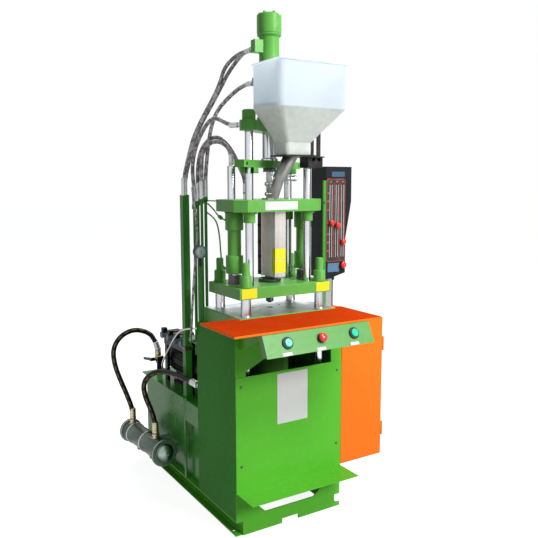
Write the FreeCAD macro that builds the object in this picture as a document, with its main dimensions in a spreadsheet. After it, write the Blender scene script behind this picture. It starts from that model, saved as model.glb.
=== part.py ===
"""Vertical injection moulding machine: base with clamp cylinder, guide columns, carriage,
hopper, control box, hydraulic tank with motor and valves, oil cooler and hoses.

Lengths are millimetres. Heights are above the floor. Distances x and y are measured from the
injection axis, and every sub-part is placed axis_back in front of the middle of the skid feet.
"""
import FreeCAD, Part
import math
import os
from types import SimpleNamespace

import Sketcher

V = FreeCAD.Vector
doc = FreeCAD.newDocument("moulding_machine")

SIZES = {
    "axis_back": 323.5,
    "base_half": 251,
    "base_front": 158,
    "base_rear": 174,
    "base_top": 798,
    "rail_rear": 805,
    "rail_height": 63,
    "rail_web": 217,
    "anchor_half_width": 237,
    "anchor_half_depth": 433.5,
    "anchor_radius": 7,
    "panel_top": 638,
    "skirt_top": 181,
    "platen_half_width": 226,
    "platen_half_depth": 155,
    "platen_top": 862,
    "table_left": 379,
    "table_right": 269,
    "table_front": 388,
    "table_back": 127,
    "table_top": 860,
    "table_thick": 8,
    "cabinet_right": 474,
    "cabinet_bottom": 184,
    "cabinet_top": 795,
    "cabinet_rear": 192,
    "tie_half_width": 173.4,
    "tie_half_depth": 106.4,
    "tie_radius": 20,
    "mould_bolt_half_width": 64,
    "mould_bolt_half_depth": 30,
    "mould_bolt_radius": 6,
    "moving_low": 928,
    "moving_top": 972,
    "moving_half_width": 213,
    "moving_half_depth": 130,
    "column_half_width": 135.3,
    "column_half_depth": 71.4,
    "column_radius": 16,
    "low_column_top": 1438,
    "top_plate_low": 1567,
    "top_plate_top": 1606,
    "injection_plate_low": 1259,
    "injection_plate_top": 1306,
    "injection_half_width": 205,
    "injection_half_depth": 112,
    "corner_cut": 40,
    "crosshead_low": 1429,
    "crosshead_top": 1457,
    "carriage_half_width": 163,
    "carriage_bore": 22,
    "main_neck_top": 1933,
    "main_top": 2022,
    "plunger_radius": 14,
    "fit_gap": 0.06,
    "tank_top": 425,
    "tank_rear": 820,
    "hose_radius": 12,
    "line_radius": 8,
    "sheet_thick": 3,
}

sheet = doc.addObject("Spreadsheet::Sheet", "dims")
for row, (name, number) in enumerate(SIZES.items(), 1):
    sheet.set("A%d" % row, name)
    sheet.set("B%d" % row, str(number))
    sheet.setAlias("B%d" % row, name)
doc.recompute()


class Size:
    """A length with the spreadsheet expression that gives it."""

    def __init__(self, number, text):
        self.number = number
        self.text = text

    def __add__(self, other):
        return joined(self, "+", other)

    def __radd__(self, other):
        return joined(other, "+", self)

    def __sub__(self, other):
        return joined(self, "-", other)

    def __rsub__(self, other):
        return joined(other, "-", self)

    def __neg__(self):
        return joined(0, "-", self)

    def __mul__(self, other):
        return joined(self, "*", other)


def number(length):
    return length.number if isinstance(length, Size) else float(length)


def joined(left, sign, right):
    a, b = number(left), number(right)
    total = {"+": a + b, "-": a - b, "*": a * b}[sign]
    texts = [q.text if isinstance(q, Size) else "(%r)" % float(q) for q in (left, right)]
    return Size(total, "(%s %s %s)" % (texts[0], sign, texts[1]))


D = SimpleNamespace(**{
    name: Size(float(sheet.get(name)), "dims." + name) for name in SIZES
})


def bind(item, field, length):
    if isinstance(length, Size):
        item.setExpression(field, length.text)
    else:
        setattr(item, field, length)


SUBPARTS = []


def subpart(kind, name, tilt=None, base=(0, 0, 0)):
    """A named sub-part in the machine's place; tilt is an axis and an angle in degrees."""
    item = doc.addObject(kind, name)
    item.Label = name
    SUBPARTS.append(item)
    placed(item, tilt, base)
    return item


def placed(item, tilt, base):
    turn = FreeCAD.Rotation(V(*tilt[0]), tilt[1]) if tilt else FreeCAD.Rotation()
    item.Placement = FreeCAD.Placement(V(0, 0, 0), turn)
    item.setExpression("Placement.Base.x", joined(0, "+", base[0]).text)
    item.setExpression("Placement.Base.y", joined(base[1], "-", D.axis_back).text)
    item.setExpression("Placement.Base.z", joined(0, "+", base[2]).text)


def body(name, tilt=None, base=(0, 0, 0)):
    return subpart("PartDesign::Body", name, tilt, base)


def plane(owner, role):
    return [item for item in owner.Origin.OriginFeatures if item.Role == role][0]


def disc(x, y, radius):
    return ("disc", x, y, radius)


def box(x0, y0, x1, y1):
    return [(x0, y0), (x1, y0), (x1, y1), (x0, y1)]


def drive(drawing, kind, edge, point, length):
    rule = drawing.addConstraint(Sketcher.Constraint(kind, edge, point, number(length)))
    if isinstance(length, Size):
        drawing.setExpression("Constraints[%d]" % rule, length.text)


def sketch(owner, role, loops, origin=(0, 0), level=0):
    """Closed loops (point lists or discs) on an origin plane, shifted along its normal."""
    drawing = owner.newObject("Sketcher::SketchObject", "drawing")
    drawing.AttachmentSupport = [(plane(owner, role), "")]
    drawing.MapMode = "FlatFace"
    for axis, length in zip("xyz", (origin[0], origin[1], level)):
        drawing.setExpression("AttachmentOffset.Base." + axis, joined(0, "+", length).text)
    for loop in loops:
        if loop[0] == "disc":
            x, y, radius = loop[1:]
            circle = Part.Circle(V(number(x), number(y), 0), V(0, 0, 1), number(radius))
            edge = drawing.addGeometry(circle)
            drive(drawing, "DistanceX", edge, 3, x)
            drive(drawing, "DistanceY", edge, 3, y)
            rule = drawing.addConstraint(Sketcher.Constraint("Radius", edge, number(radius)))
            if isinstance(radius, Size):
                drawing.setExpression("Constraints[%d]" % rule, radius.text)
            continue
        corners = [V(number(x), number(y), 0) for x, y in loop]
        sides = [
            drawing.addGeometry(Part.LineSegment(start, end))
            for start, end in zip(corners, corners[1:] + corners[:1])
        ]
        for side, after in zip(sides, sides[1:] + sides[:1]):
            drawing.addConstraint(Sketcher.Constraint("Coincident", side, 2, after, 1))
        for side, (x, y) in zip(sides, loop):
            drive(drawing, "DistanceX", side, 1, x)
            drive(drawing, "DistanceY", side, 1, y)
    return drawing


PLANES = {"x": "YZ_Plane", "y": "XZ_Plane", "z": "XY_Plane"}


def grow(owner, axis, loops, low, high, kind="Pad"):
    """Pad, or cut a pocket, between two levels along an axis."""
    start = -high if axis == "y" else low
    item = owner.newObject("PartDesign::" + kind, kind.lower())
    item.Profile = sketch(owner, PLANES[axis], loops, level=start)
    bind(item, "Length", high - low)
    if kind == "Pocket":
        item.Reversed = True
    return item


def cut(owner, axis, loops, low, high):
    return grow(owner, axis, loops, low, high, "Pocket")


def turned(owner, axis, centre, profile, kind="Revolution"):
    """Turn a profile of (along, radius) points about an axis through a point."""
    x, y, z = centre
    if axis == "z":
        loop = [(radius, along) for along, radius in profile]
        drawing = sketch(owner, "XZ_Plane", [loop], (x, z), -y)
    elif axis == "x":
        drawing = sketch(owner, "XZ_Plane", [profile], (x, z), -y)
    else:
        drawing = sketch(owner, "YZ_Plane", [profile], (y, z), x)
    item = owner.newObject("PartDesign::" + kind, kind.lower())
    item.Profile = drawing
    item.ReferenceAxis = (drawing, ["V_Axis" if axis == "z" else "H_Axis"])
    item.Angle = 360
    return item


def rod(low, high, radius, ease=0):
    """Profile of a plain rod with eased ends."""
    if not ease:
        return [(low, 0), (low, radius), (high, radius), (high, 0)]
    return [
        (low, 0), (low, radius - ease), (low + ease, radius),
        (high - ease, radius), (high, radius - ease), (high, 0),
    ]


def ring(low, high, inner, outer, ease=0):
    """Profile of a ring with eased outer corners."""
    if not ease:
        return [(low, inner), (low, outer), (high, outer), (high, inner)]
    return [
        (low, inner), (low, outer - ease), (low + ease, outer),
        (high - ease, outer), (high, outer - ease), (high, inner),
    ]


def eased(owner, size, chosen, kind="Chamfer"):
    """Chamfer or fillet the edges that the test picks, by middle point and direction."""
    doc.recompute()
    solid = owner.Tip
    names = [
        "Edge%d" % place for place, edge in enumerate(solid.Shape.Edges, 1)
        if chosen(edge.CenterOfMass, edge)
    ]
    item = owner.newObject("PartDesign::" + kind, kind.lower())
    item.Base = (solid, names)
    bind(item, "Size" if kind == "Chamfer" else "Radius", size)
    owner.Tip = item
    return item


def hexagon(x, y, across):
    side = across / math.sqrt(3)
    return [
        (x + side * math.cos(math.radians(60 * n)), y + side * math.sin(math.radians(60 * n)))
        for n in range(6)
    ]


# ---------------------------------------------------------------- base and skid

def skid_frame():
    """Two channels on the floor with the cut-out plate welded across their front ends."""
    item = body("skid_frame")
    web, edge, top = D.rail_web, D.base_half, D.rail_height
    for side in (-1, 1):
        loop = [
            (web * side, 0), (edge * side, 0), (edge * side, 6), ((web + 6) * side, 6),
            ((web + 6) * side, top - 6), (edge * side, top - 6), (edge * side, top),
            (web * side, top),
        ]
        grow(item, "y", [loop], -(D.base_front - 6), D.rail_rear)
    holes = [
        disc(D.anchor_half_width * sx, D.axis_back + D.anchor_half_depth * sy, D.anchor_radius)
        for sx in (-1, 1) for sy in (-1, 1)
    ]
    cut(item, "z", holes, -1, 10)
    outer = [
        (-222, 0), (-40, 0), (-40, 20), (40, 20), (40, 0), (D.base_half, 0),
        (D.base_half, 17), (D.rail_web + 7, 17), (D.rail_web + 7, 53), (D.base_half, 53),
        (D.base_half, D.skirt_top), (-D.base_half, D.skirt_top), (-D.base_half, 58),
        (-222, 58),
    ]
    opening = [(-117, 73), (117, 73), (150, 104), (150, 127), (-150, 127), (-150, 104)]
    grow(item, "y", [outer, opening], -D.base_front, -(D.base_front - 6))


def base_cabinet():
    item = body("base_cabinet")
    half, front, rear, top = D.base_half, D.base_front, D.base_rear, D.base_top
    outer = box(-half, -front, half, rear)
    inner = box(5 - half, 5 - front, half - 5, rear - 5)
    grow(item, "z", [outer, inner], D.rail_height, top - 12)
    grow(item, "z", [outer, box(-200, -130, 200, 130)], top - 12, top)
    cut(item, "y", [box(-half - 1, D.rail_height - 1, half + 1, D.skirt_top)], -front - 1, 6 - front)
    opening = [(-205, 210), (199, 210), (199, 765), (18, 765), (-205, 657)]
    cut(item, "y", [opening], -front - 1, 6 - front)
    cut(item, "z", [disc(213 * sx, 142 * sy, 6.3) for sx in (-1, 1) for sy in (-1, 1)],
        top - 13, top + 1)
    screws = [disc(x, z, 3.3) for x in (-228, 228) for z in (284, 600)]
    cut(item, "y", screws, -front - 1, 6 - front)
    cut(item, "y", [disc(-150, 560, 22), disc(-90, 560, 22)], rear - 6, rear + 1)
    turned(item, "y", (-240, rear, 517), [(-1, 0), (-1, 10.5), (14, 10.5), (14, 8), (31, 8), (31, 0)])
    shelf = D.table_top - D.table_thick
    gusset = [(-front, shelf), (-345, shelf), (-345, shelf - 20), (-front, 745)]
    for x in (-232, 226):
        grow(item, "x", [gusset], x, x + 6)
    grow(item, "y", [box(-half, top, half, shelf)], -front, 2 - front)


def front_panel():
    item = body("front_panel")
    front, low, thick = D.base_front, D.skirt_top, D.sheet_thick
    loop = [
        (-front - thick, D.panel_top), (-front, D.panel_top), (-front, low - thick),
        (-front - 125, low - thick), (-front - 125, low), (-front - thick, low),
    ]
    grow(item, "x", [loop], -D.base_half, D.base_half)
    cut(item, "y", [disc(x, z, 3.3) for x in (-228, 228) for z in (284, 600)],
        -front - thick - 1, -front + 1)


def base_fasteners():
    """Panel screws, and the bolts that hold the lower platen and the clamp cylinder."""
    item = body("base_fasteners")
    for sx in (-1, 1):
        for sy in (-1, 1):
            turned(item, "z", (213 * sx, 142 * sy, D.base_top - 12),
                   [(-11, 0), (-11, 8.5), (-1, 9), (0, 9), (0, 6.2), (36, 6.2), (36, 0)])
            turned(item, "z", (72 * sx, 72 * sy, D.base_top - 26),
                   [(-12, 0), (-12, 8.5), (-1, 9), (0, 9), (0, 6.2), (50, 6.2), (50, 0)])
    face = -D.base_front - D.sheet_thick
    for x in (-228, 228):
        for z in (284, 600):
            turned(item, "y", (x, face, z),
                   [(-3, 0), (-3, 3.5), (-1.2, 5.5), (0, 5.5), (0, 3.2), (11, 3.2), (11, 0)])


def instruction_plate():
    item = body("instruction_plate")
    face = -D.base_front - D.sheet_thick
    grow(item, "y", [box(-66, 423, 79, 628)], face - 1, face)


def lower_platen():
    item = body("lower_platen")
    grow(item, "z", [box(-D.platen_half_width, -D.platen_half_depth,
                         D.platen_half_width, D.platen_half_depth)], D.base_top, D.platen_top)
    ties = [disc(D.tie_half_width * sx, D.tie_half_depth * sy, D.tie_radius + D.fit_gap)
            for sx in (-1, 1) for sy in (-1, 1)]
    cut(item, "z", ties + [disc(0, 0, 15)], D.base_top - 1, D.platen_top + 1)
    moulds = [disc(D.mould_bolt_half_width * sx, D.mould_bolt_half_depth * sy,
                   D.mould_bolt_radius) for sx in (-1, 1) for sy in (-1, 1)]
    cut(item, "z", moulds, D.platen_top - 30, D.platen_top + 1)
    cut(item, "z", [disc(213 * sx, 142 * sy, 6.3) for sx in (-1, 1) for sy in (-1, 1)],
        D.base_top - 1, D.base_top + 26)
    cut(item, "z", [disc(72 * sx, 72 * sy, 6.3) for sx in (-1, 1) for sy in (-1, 1)],
        D.base_top - 1, D.base_top + 26)
    eased(item, 4, lambda c, e: abs(c.z - D.platen_top.number) < 0.1 and (
        abs(abs(c.x) - 226) < 0.1 or abs(abs(c.y) - 155) < 0.1))


def table():
    item = body("table")
    notch = D.platen_half_depth + 2
    side = D.platen_half_width + 2
    loop = [
        (-D.table_left, -D.table_front), (D.table_right, -D.table_front),
        (D.table_right, -D.table_back), (side, -D.table_back), (side, -notch),
        (-side, -notch), (-side, -D.table_back), (-D.table_left, -D.table_back),
    ]
    grow(item, "z", [loop], D.table_top - D.table_thick, D.table_top)


# ---------------------------------------------------------------- console under the table

LEAN = math.degrees(math.atan2(37.5, 77))
CONSOLE = ((1, 0, 0), -LEAN)


def leaned(back, up):
    """Turn an offset from the console's top edge into the console's own leaning frame."""
    c, s = math.cos(math.radians(LEAN)), math.sin(math.radians(LEAN))
    return (back * c - up * s, back * s + up * c)


def console_base():
    return (0, -D.table_front + 4, D.table_top - D.table_thick)


BUTTONS = {"button_left": -176, "button_stop": -29, "button_right": 118}
BUTTON_DROP = 40


def console():
    item = body("console", CONSOLE, console_base())
    face = [leaned(0, 0), leaned(2.2, 0), leaned(-34.2, -75), leaned(-7, -75),
            leaned(-7, -77), leaned(-37.5, -77)]
    grow(item, "x", [face], -270, 202)
    cheek = [leaned(0, 0), leaned(-37.5, -77), leaned(-7, -77), leaned(28, 0)]
    grow(item, "x", [cheek], -270, -268)
    grow(item, "x", [cheek], 200, 202)
    cut(item, "y", [disc(x, -BUTTON_DROP, 11.2) for x in BUTTONS.values()], -3, 4)


def button_bezels():
    item = body("button_bezels", CONSOLE, console_base())
    for name, x in BUTTONS.items():
        wide = 22 if name != "button_stop" else 17
        turned(item, "y", (x, 0, -BUTTON_DROP), [
            (-6, 15.3), (-6, wide - 1.2), (-4, wide), (0, wide), (0, 11), (2.2, 11), (2.2, 16),
            (7, 16), (7, 11), (14, 11), (14, 15), (48, 15), (48, 0), (12, 0), (12, 9.8),
            (-1, 9.8), (-1, 15.3),
        ])


def push_button(name, head):
    item = body(name, CONSOLE, console_base())
    turned(item, "y", (BUTTONS[name], 0, -BUTTON_DROP),
           head + [(-5.5, 9.72), (6, 9.72), (6, 0)])


def buttons():
    flat = [(-11.5, 0), (-11.5, 13), (-10, 15), (-5.5, 15)]
    push_button("button_left", flat)
    push_button("button_right", flat)
    dome = [(-21, 0), (-20.2, 7), (-18.2, 12.5), (-15, 16.5), (-12, 18), (-10.5, 17.4), (-10.5, 12),
            (-5.5, 12)]
    push_button("button_stop", dome)


# ---------------------------------------------------------------- electric cabinet

CONDUIT = (345, 40)


def electric_cabinet():
    item = body("electric_cabinet")
    front, low, top = -D.base_front, D.cabinet_bottom, D.cabinet_top
    left, right, rear = D.base_half, D.cabinet_right, D.cabinet_rear
    grow(item, "y", [box(left, low, right, top)], front, rear)
    cut(item, "y", [box(left + 2, low + 2, right - 2, top - 2)], front + 2, rear - 2)
    cut(item, "y", [box(left + 16, low + 16, right - 16, top - 16)], front - 1, front + 3)
    x, y = CONDUIT
    grow(item, "z", [hexagon(x, y, 34)], top - 8, top + 12)
    turned(item, "z", (x, y, top), ring(10, 34, 9.3, 15, 2))
    cut(item, "z", [disc(x, y, 9.3)], top - 9, top + 35)
    for z in (300, 680):
        grow(item, "z", [disc(right + 5, front, 4.6)], z - 30.5, z - 0.5)
        grow(item, "z", [box(right, front + 1, right + 7, front + 22)], z - 30.5, z - 0.5)


def cabinet_door():
    item = body("cabinet_door")
    face = -D.base_front - 0.5
    grow(item, "y", [box(D.base_half + 2, D.cabinet_bottom + 6, D.cabinet_right - 1,
                         D.cabinet_top - 2)], face - 2, face)
    for z in (300, 680):
        grow(item, "z", [disc(D.cabinet_right + 5, -D.base_front, 4.6)], z, z + 30)
        grow(item, "z", [box(D.cabinet_right - 1, -D.base_front - 2.5,
                             D.cabinet_right + 4, -D.base_front - 0.5)], z, z + 30)


def control_gear():
    item = body("control_gear")
    rear = D.cabinet_rear - 2
    grow(item, "y", [box(272, 220, 454, 760)], rear - 4, rear)
    for z in (340, 620):
        grow(item, "y", [box(280, z, 446, z + 35)], rear - 12, rear - 4)
    for x in (285, 335, 385):
        grow(item, "y", [box(x, 318, x + 45, 398)], rear - 92, rear - 12)
    for x in (285, 311, 337, 363, 389):
        grow(item, "y", [box(x, 596, x + 18, 680)], rear - 80, rear - 12)
    grow(item, "y", [box(300, 450, 420, 550)], rear - 90, rear - 4)


# ---------------------------------------------------------------- clamp

def clamp_cylinder():
    item = body("clamp_cylinder")
    top = D.base_top
    grow(item, "z", [box(-90, -90, 90, 90)], top - 26, top)
    turned(item, "z", (0, 0, 0), [(555, 0), (555, 70), (575, 76), (772, 76), (772, 0)])
    turned(item, "z", (0, 0, 0), [(574, 0), (574, 58), (778, 58), (778, 0)], "Groove")
    turned(item, "z", (0, 0, 0), [(554, 0), (554, D.tie_radius + 10 + D.fit_gap),
                                  (575, D.tie_radius + 10 + D.fit_gap), (575, 0)], "Groove")
    cut(item, "z", [disc(72 * sx, 72 * sy, 6.3) for sx in (-1, 1) for sy in (-1, 1)],
        top - 27, top + 1)


def clamp_rod():
    item = body("clamp_rod")
    turned(item, "z", (0, 0, 0), [
        (350, 0), (350, 22), (395, 22), (395, 30), (578, 30), (578, 57.9), (604, 57.9), (604, 0),
    ])


def clamp_crosshead():
    item = body("clamp_crosshead")
    grow(item, "z", [box(-203, -128, 203, 128)], 350, 395)
    ties = [disc(D.tie_half_width * sx, D.tie_half_depth * sy, D.tie_radius + D.fit_gap)
            for sx in (-1, 1) for sy in (-1, 1)]
    cut(item, "z", ties + [disc(0, 0, 22.05)], 349, 396)


def tie_bars():
    item = body("tie_bars")
    for sx in (-1, 1):
        for sy in (-1, 1):
            turned(item, "z", (D.tie_half_width * sx, D.tie_half_depth * sy, 0),
                   rod(318, 1012, D.tie_radius, 2))


def platen_nuts():
    """Nuts of the tie bars and caps of the long guide columns."""
    item = body("platen_nuts")
    for sx in (-1, 1):
        for sy in (-1, 1):
            turned(item, "z", (D.tie_half_width * sx, D.tie_half_depth * sy, 0), [
                (D.moving_top, D.tie_radius + D.fit_gap), (D.moving_top, 26), (977, 26),
                (977, 23.5), (1014, 23.5), (1018, 21), (1018, 15), (1064, 15), (1068, 12),
                (1068, 0), (1012.1, 0), (1012.1, D.tie_radius + D.fit_gap),
            ])
            turned(item, "z", (D.tie_half_width * sx, D.tie_half_depth * sy, 0), [
                (322, D.tie_radius + D.fit_gap), (322, 30), (324, 32), (348, 32), (350, 30),
                (350, D.tie_radius + D.fit_gap),
            ])
    bore = D.column_radius + D.fit_gap
    for sx, sy, top in COLUMNS:
        centre = (D.column_half_width * sx, D.column_half_depth * sy, 0)
        if top > 1500:
            turned(item, "z", centre, [
                (D.top_plate_top, bore), (D.top_plate_top, 26), (1640, 26), (1645, 22), (1645, 0),
                (1610.1, 0), (1610.1, bore),
            ])


def moving_platen():
    item = body("moving_platen")
    half_x, half_y = D.moving_half_width, D.moving_half_depth
    grow(item, "z", [box(-half_x, -half_y, half_x, half_y)], D.moving_low, D.moving_top)
    ties = [disc(D.tie_half_width * sx, D.tie_half_depth * sy, D.tie_radius + D.fit_gap)
            for sx in (-1, 1) for sy in (-1, 1)]
    cut(item, "z", ties + [disc(0, 0, 38)], D.moving_low - 1, D.moving_top + 1)
    turned(item, "z", (0, 0, D.moving_top), ring(-1, 13, 38, 46, 2))
    columns = [disc(D.column_half_width * sx, D.column_half_depth * sy,
                    D.column_radius + D.fit_gap) for sx in (-1, 1) for sy in (-1, 1)]
    cut(item, "z", columns, D.moving_top - 30, D.moving_top + 1)
    moulds = [disc(88 * sx, 40 * sy, D.mould_bolt_radius) for sx in (-1, 1) for sy in (-1, 1)]
    cut(item, "z", moulds, D.moving_low - 1, D.moving_low + 25)
    rods = [disc(D.carriage_half_width * sx, 0, 8.1) for sx in (-1, 1)]
    cut(item, "z", rods, D.moving_low + 15, D.moving_top + 1)
    eased(item, 3, lambda c, e: abs(c.z - D.moving_top.number) < 0.1 and (
        abs(abs(c.x) - 213) < 0.1 or abs(abs(c.y) - 130) < 0.1))


COLUMNS = (
    (-1, -1, 1610), (1, 1, 1610), (-1, 1, 1438), (1, -1, 1438),
)


def guide_columns():
    item = body("guide_columns")
    for sx, sy, top in COLUMNS:
        turned(item, "z", (D.column_half_width * sx, D.column_half_depth * sy, 0),
               rod(D.moving_top - 29, top, D.column_radius, 1.5))
    turned(item, "z", (-D.column_half_width, D.column_half_depth, D.low_column_top), rod(-1, 10, 9, 1))


# ---------------------------------------------------------------- top plate, main cylinder

BEAM = math.degrees(math.atan2(71.4, 135.3))
REACH = math.hypot(135.3, 71.4)
DIAGONAL = ((0, 0, 1), BEAM)


def beam_outline(eye, waist, mid):
    """Diagonal beam in its own frame: round eyes at the columns, a waist and a wide middle."""
    loop = []
    start = math.degrees(math.asin(waist / eye))
    for side in (1, -1):
        for step in range(13):
            a = math.radians(start - 180 + (360 - 2 * start) * step / 12)
            loop.append((side * (REACH + eye * math.cos(a)), side * eye * math.sin(a)))
        loop += [(side * (mid + 20), side * waist), (side * mid, side * mid),
                 (-side * mid, side * mid), (-side * (mid + 20), side * waist)]
    return loop


def top_plate():
    item = body("top_plate", DIAGONAL)
    grow(item, "z", [beam_outline(36, 30, 40)], D.top_plate_low, D.top_plate_top)
    turned(item, "y", (16 - REACH, 0, 1592), [(29, 0), (29, 11), (44, 11), (44, 8), (61.5, 8), (61.5, 0)])
    bore = D.column_radius + D.fit_gap
    cut(item, "z", [disc(REACH, 0, bore), disc(-REACH, 0, bore), disc(0, 0, 30)],
        D.top_plate_low - 1, D.top_plate_top + 1)


def injection_cylinder():
    item = body("injection_cylinder")
    low, neck, top = D.top_plate_top, D.main_neck_top, D.main_top
    turned(item, "z", (0, 0, 0), [
        (low, 0), (low, 50), (low + 22, 50), (low + 26, 40), (neck, 40), (neck + 6, 46),
        (neck + 10, 48.5), (neck + 13, 46), (neck + 16, 48.5), (top - 5, 48.5), (top, 44), (top, 0),
    ])
    turned(item, "z", (0, 0, 0), [(low + 18, 0), (low + 18, 33), (top - 40, 33), (top - 40, 0)],
           "Groove")
    turned(item, "z", (0, 0, 0), [(low - 1, 0), (low - 1, 28.06), (low + 19, 28.06),
                                  (low + 19, 0)], "Groove")
    for turn in range(6):
        a = math.radians(30 + 60 * turn)
        turned(item, "z", (36 * math.cos(a), 36 * math.sin(a), top),
               [(0, 0), (0, 6), (5, 6), (6, 5), (6, 0)])
    grow(item, "x", [box(-16, 1872, 16, 1920)], -74, -36)
    grow(item, "x", [box(-14, 1746, 14, 1778)], -70, -36)
    for x, z in ((-42, 1897), (-62, 1888), (-57, 1762)):
        turned(item, "y", (x, 0, z), [(12, 0), (12, 9.5), (26, 9.5), (26, 7), (41, 7), (41, 0)])


def injection_rod():
    """Piston and rod of the main cylinder with the coupling on the crosshead."""
    item = body("injection_rod")
    top = D.crosshead_top
    turned(item, "z", (0, 0, 0), [
        (top, 0), (top, 34), (top + 8, 34), (top + 12, 28), (1900, 28), (1900, 32.9),
        (1930, 32.9), (1930, 0),
    ])


def crosshead():
    item = body("crosshead", DIAGONAL)
    low, top = D.crosshead_low, D.crosshead_top
    bore = D.column_radius + 0.3
    half, end, mid = 26, REACH + 70, 40
    loop = [
        (end, -22), (end, 22), (end - 30, half), (mid + 26, half), (mid, mid), (-mid, mid),
        (-mid - 26, half), (30 - end, half), (-end, 22), (-end, -22), (30 - end, -half),
        (-mid - 26, -half), (-mid, -mid), (mid, -mid), (mid + 26, -half), (end - 30, -half),
    ]
    grow(item, "z", [loop], low, top)
    for side in (-1, 1):
        turned(item, "z", (REACH * side, 0, 0), ring(low - 22, low, bore, 36, 2))
        slot = [((REACH + x) * side, y * side) for x, y in ((9, -14), (42, 8), (24, 36), (-9, 14))]
        cut(item, "z", [slot], low - 23, low)
        cut(item, "y", [box(side * (end - 18) - 6, low + 8, side * (end - 18) + 6, top - 8)], -27, -12)
    cut(item, "z", [disc(REACH, 0, bore), disc(-REACH, 0, bore)], low - 1, top + 1)


def plunger():
    item = body("plunger")
    turned(item, "z", (0, 0, 0), [
        (1275, 0), (1275, D.plunger_radius), (1414, D.plunger_radius), (1414, 26),
        (D.crosshead_low, 26), (D.crosshead_low, 0),
    ])


# ---------------------------------------------------------------- carriage

def injection_plate():
    item = body("injection_plate")
    hx, hy, c = D.injection_half_width, D.injection_half_depth, D.corner_cut
    loop = [
        (-hx, c - hy), (c - hx, -hy), (hx - c, -hy), (hx, c - hy),
        (hx, hy - c), (hx - c, hy), (c - hx, hy), (-hx, hy - c),
    ]
    grow(item, "z", [loop], D.injection_plate_low, D.injection_plate_top)
    holes = [disc(D.column_half_width * sx, D.column_half_depth * sy, 22)
             for sx in (-1, 1) for sy in (-1, 1)]
    rods = [disc(D.carriage_half_width * sx, 0, 14) for sx in (-1, 1)]
    cut(item, "z", holes + rods + [disc(0, 0, 30)], D.injection_plate_low - 1,
        D.injection_plate_top + 1)
    x, y = CHUTE_FOOT
    feed = [(x - 14, y), (x, y - 14), (x + 14, y), (9, -27), (-9, -20)]
    cut(item, "z", [feed], D.injection_plate_top - 22, D.injection_plate_top - 6)
    cut(item, "z", [disc(x, y, 16)], D.injection_plate_top - 7, D.injection_plate_top + 1)
    turned(item, "z", (-97, 26, D.injection_plate_top), rod(-1, 26, 9, 1))
    eased(item, 2, lambda c, e: abs(c.z - D.injection_plate_top.number) < 0.1
          and (abs(c.x) > 180 or abs(c.y) > 110))


def guide_bushes():
    item = body("guide_bushes")
    low, top = D.injection_plate_low, D.injection_plate_top
    bore = D.column_radius + D.fit_gap
    for sx in (-1, 1):
        for sy in (-1, 1):
            turned(item, "z", (D.column_half_width * sx, D.column_half_depth * sy, 0), [
                (low - 42, bore), (low - 42, 21), (low - 40, 23), (low - 8, 23), (low - 8, 30),
                (low, 30), (low, 21.9), (top, 21.9), (top, bore),
            ])


def barrel():
    item = body("barrel")
    low = D.injection_plate_low
    turned(item, "z", (0, 0, 0), [
        (935, 15), (935, 19), (low, 19), (low, 29.9),
        (D.injection_plate_top, 29.9), (D.injection_plate_top, D.plunger_radius + 0.08),
        (1000, D.plunger_radius + 0.08), (985, 6), (955, 6), (955, 15),
    ])
    cut(item, "y", [box(-9, D.injection_plate_top - 22, 9, D.injection_plate_top + 1)], -31, 0)


def nozzle():
    item = body("nozzle")
    turned(item, "z", (0, 0, 0), [
        (883, 2.5), (883, 7), (890, 16), (925, 16), (925, 19), (934.9, 19), (934.9, 14.9),
        (954.9, 14.9), (954.9, 6), (940, 6),
    ])


def heaters():
    """Heater bands on the barrel and the black cover box behind them with its side screws."""
    item = body("heaters")
    trough = [(-39, 2), (-39, 29), (39, 29), (39, 2), (36, 2), (36, 26), (-36, 26), (-36, 2)]
    grow(item, "z", [trough], 1000, D.injection_plate_low - 2)
    for z in (1013, 1075, 1132, 1201):
        turned(item, "x", (-39, 15, z), [(-6, 0), (-6, 5.5), (-1, 6), (1, 6), (1, 0)])
    for low in (1010, 1060, 1110, 1160, 1208):
        turned(item, "z", (0, 0, low), ring(0, 38, 19.1, 23, 1))


def barrel_cover():
    item = body("barrel_cover")
    outer = [
        (-39, 1.5), (-39, 0), (-25, 0), (-25, -81), (25, -81), (25, 0), (39, 0), (39, 1.5),
        (23.5, 1.5), (23.5, -79.5), (-23.5, -79.5), (-23.5, 1.5),
    ]
    grow(item, "z", [outer], 996, D.injection_plate_low - 0.2)
    grow(item, "z", [box(-25, -81, 25, -24)], D.injection_plate_low - 1.7,
         D.injection_plate_low - 0.2)


def carriage_cylinders():
    item = body("carriage_cylinders")
    low = D.injection_plate_low
    for side in (-1, 1):
        centre = (D.carriage_half_width * side, 0, 0)
        turned(item, "z", centre, [
            (1015, 12.1), (1015, 33), (1018, 35), (1084, 35), (1087, 33), (1087, 27),
            (1186, 27), (1186, 34), (1189, 36), (low - 5, 36), (low - 2, 34), (low - 2, 29),
            (low, 29), (low, 13), (1200, 13), (1200, D.carriage_bore),
            (1040, D.carriage_bore), (1040, 12.1),
        ])


def carriage_rods():
    item = body("carriage_rods")
    for side in (-1, 1):
        foot = [(948, 0), (948, 8), (D.moving_top, 8), (D.moving_top, 26)]
        for z in range(976, 1006, 6):
            foot += [(z, 26), (z, 23), (z + 3, 23), (z + 3, 26)]
        foot += [(1008, 26), (1008, 12), (1080, 12), (1080, 21.9), (1104, 21.9), (1104, 0)]
        turned(item, "z", (D.carriage_half_width * side, 0, 0), foot)


# ---------------------------------------------------------------- hopper and chute

CHUTE_TOP, CHUTE_BEND, CHUTE_FOOT = (15, -130, 1470), (-23, -108, 1388), (-44, -88)


def tube_along(start, end, radius):
    """Solid cylinder between two points."""
    way = V(*end) - V(*start)
    return Part.makeCylinder(radius, way.Length, V(*start), way)


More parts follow.
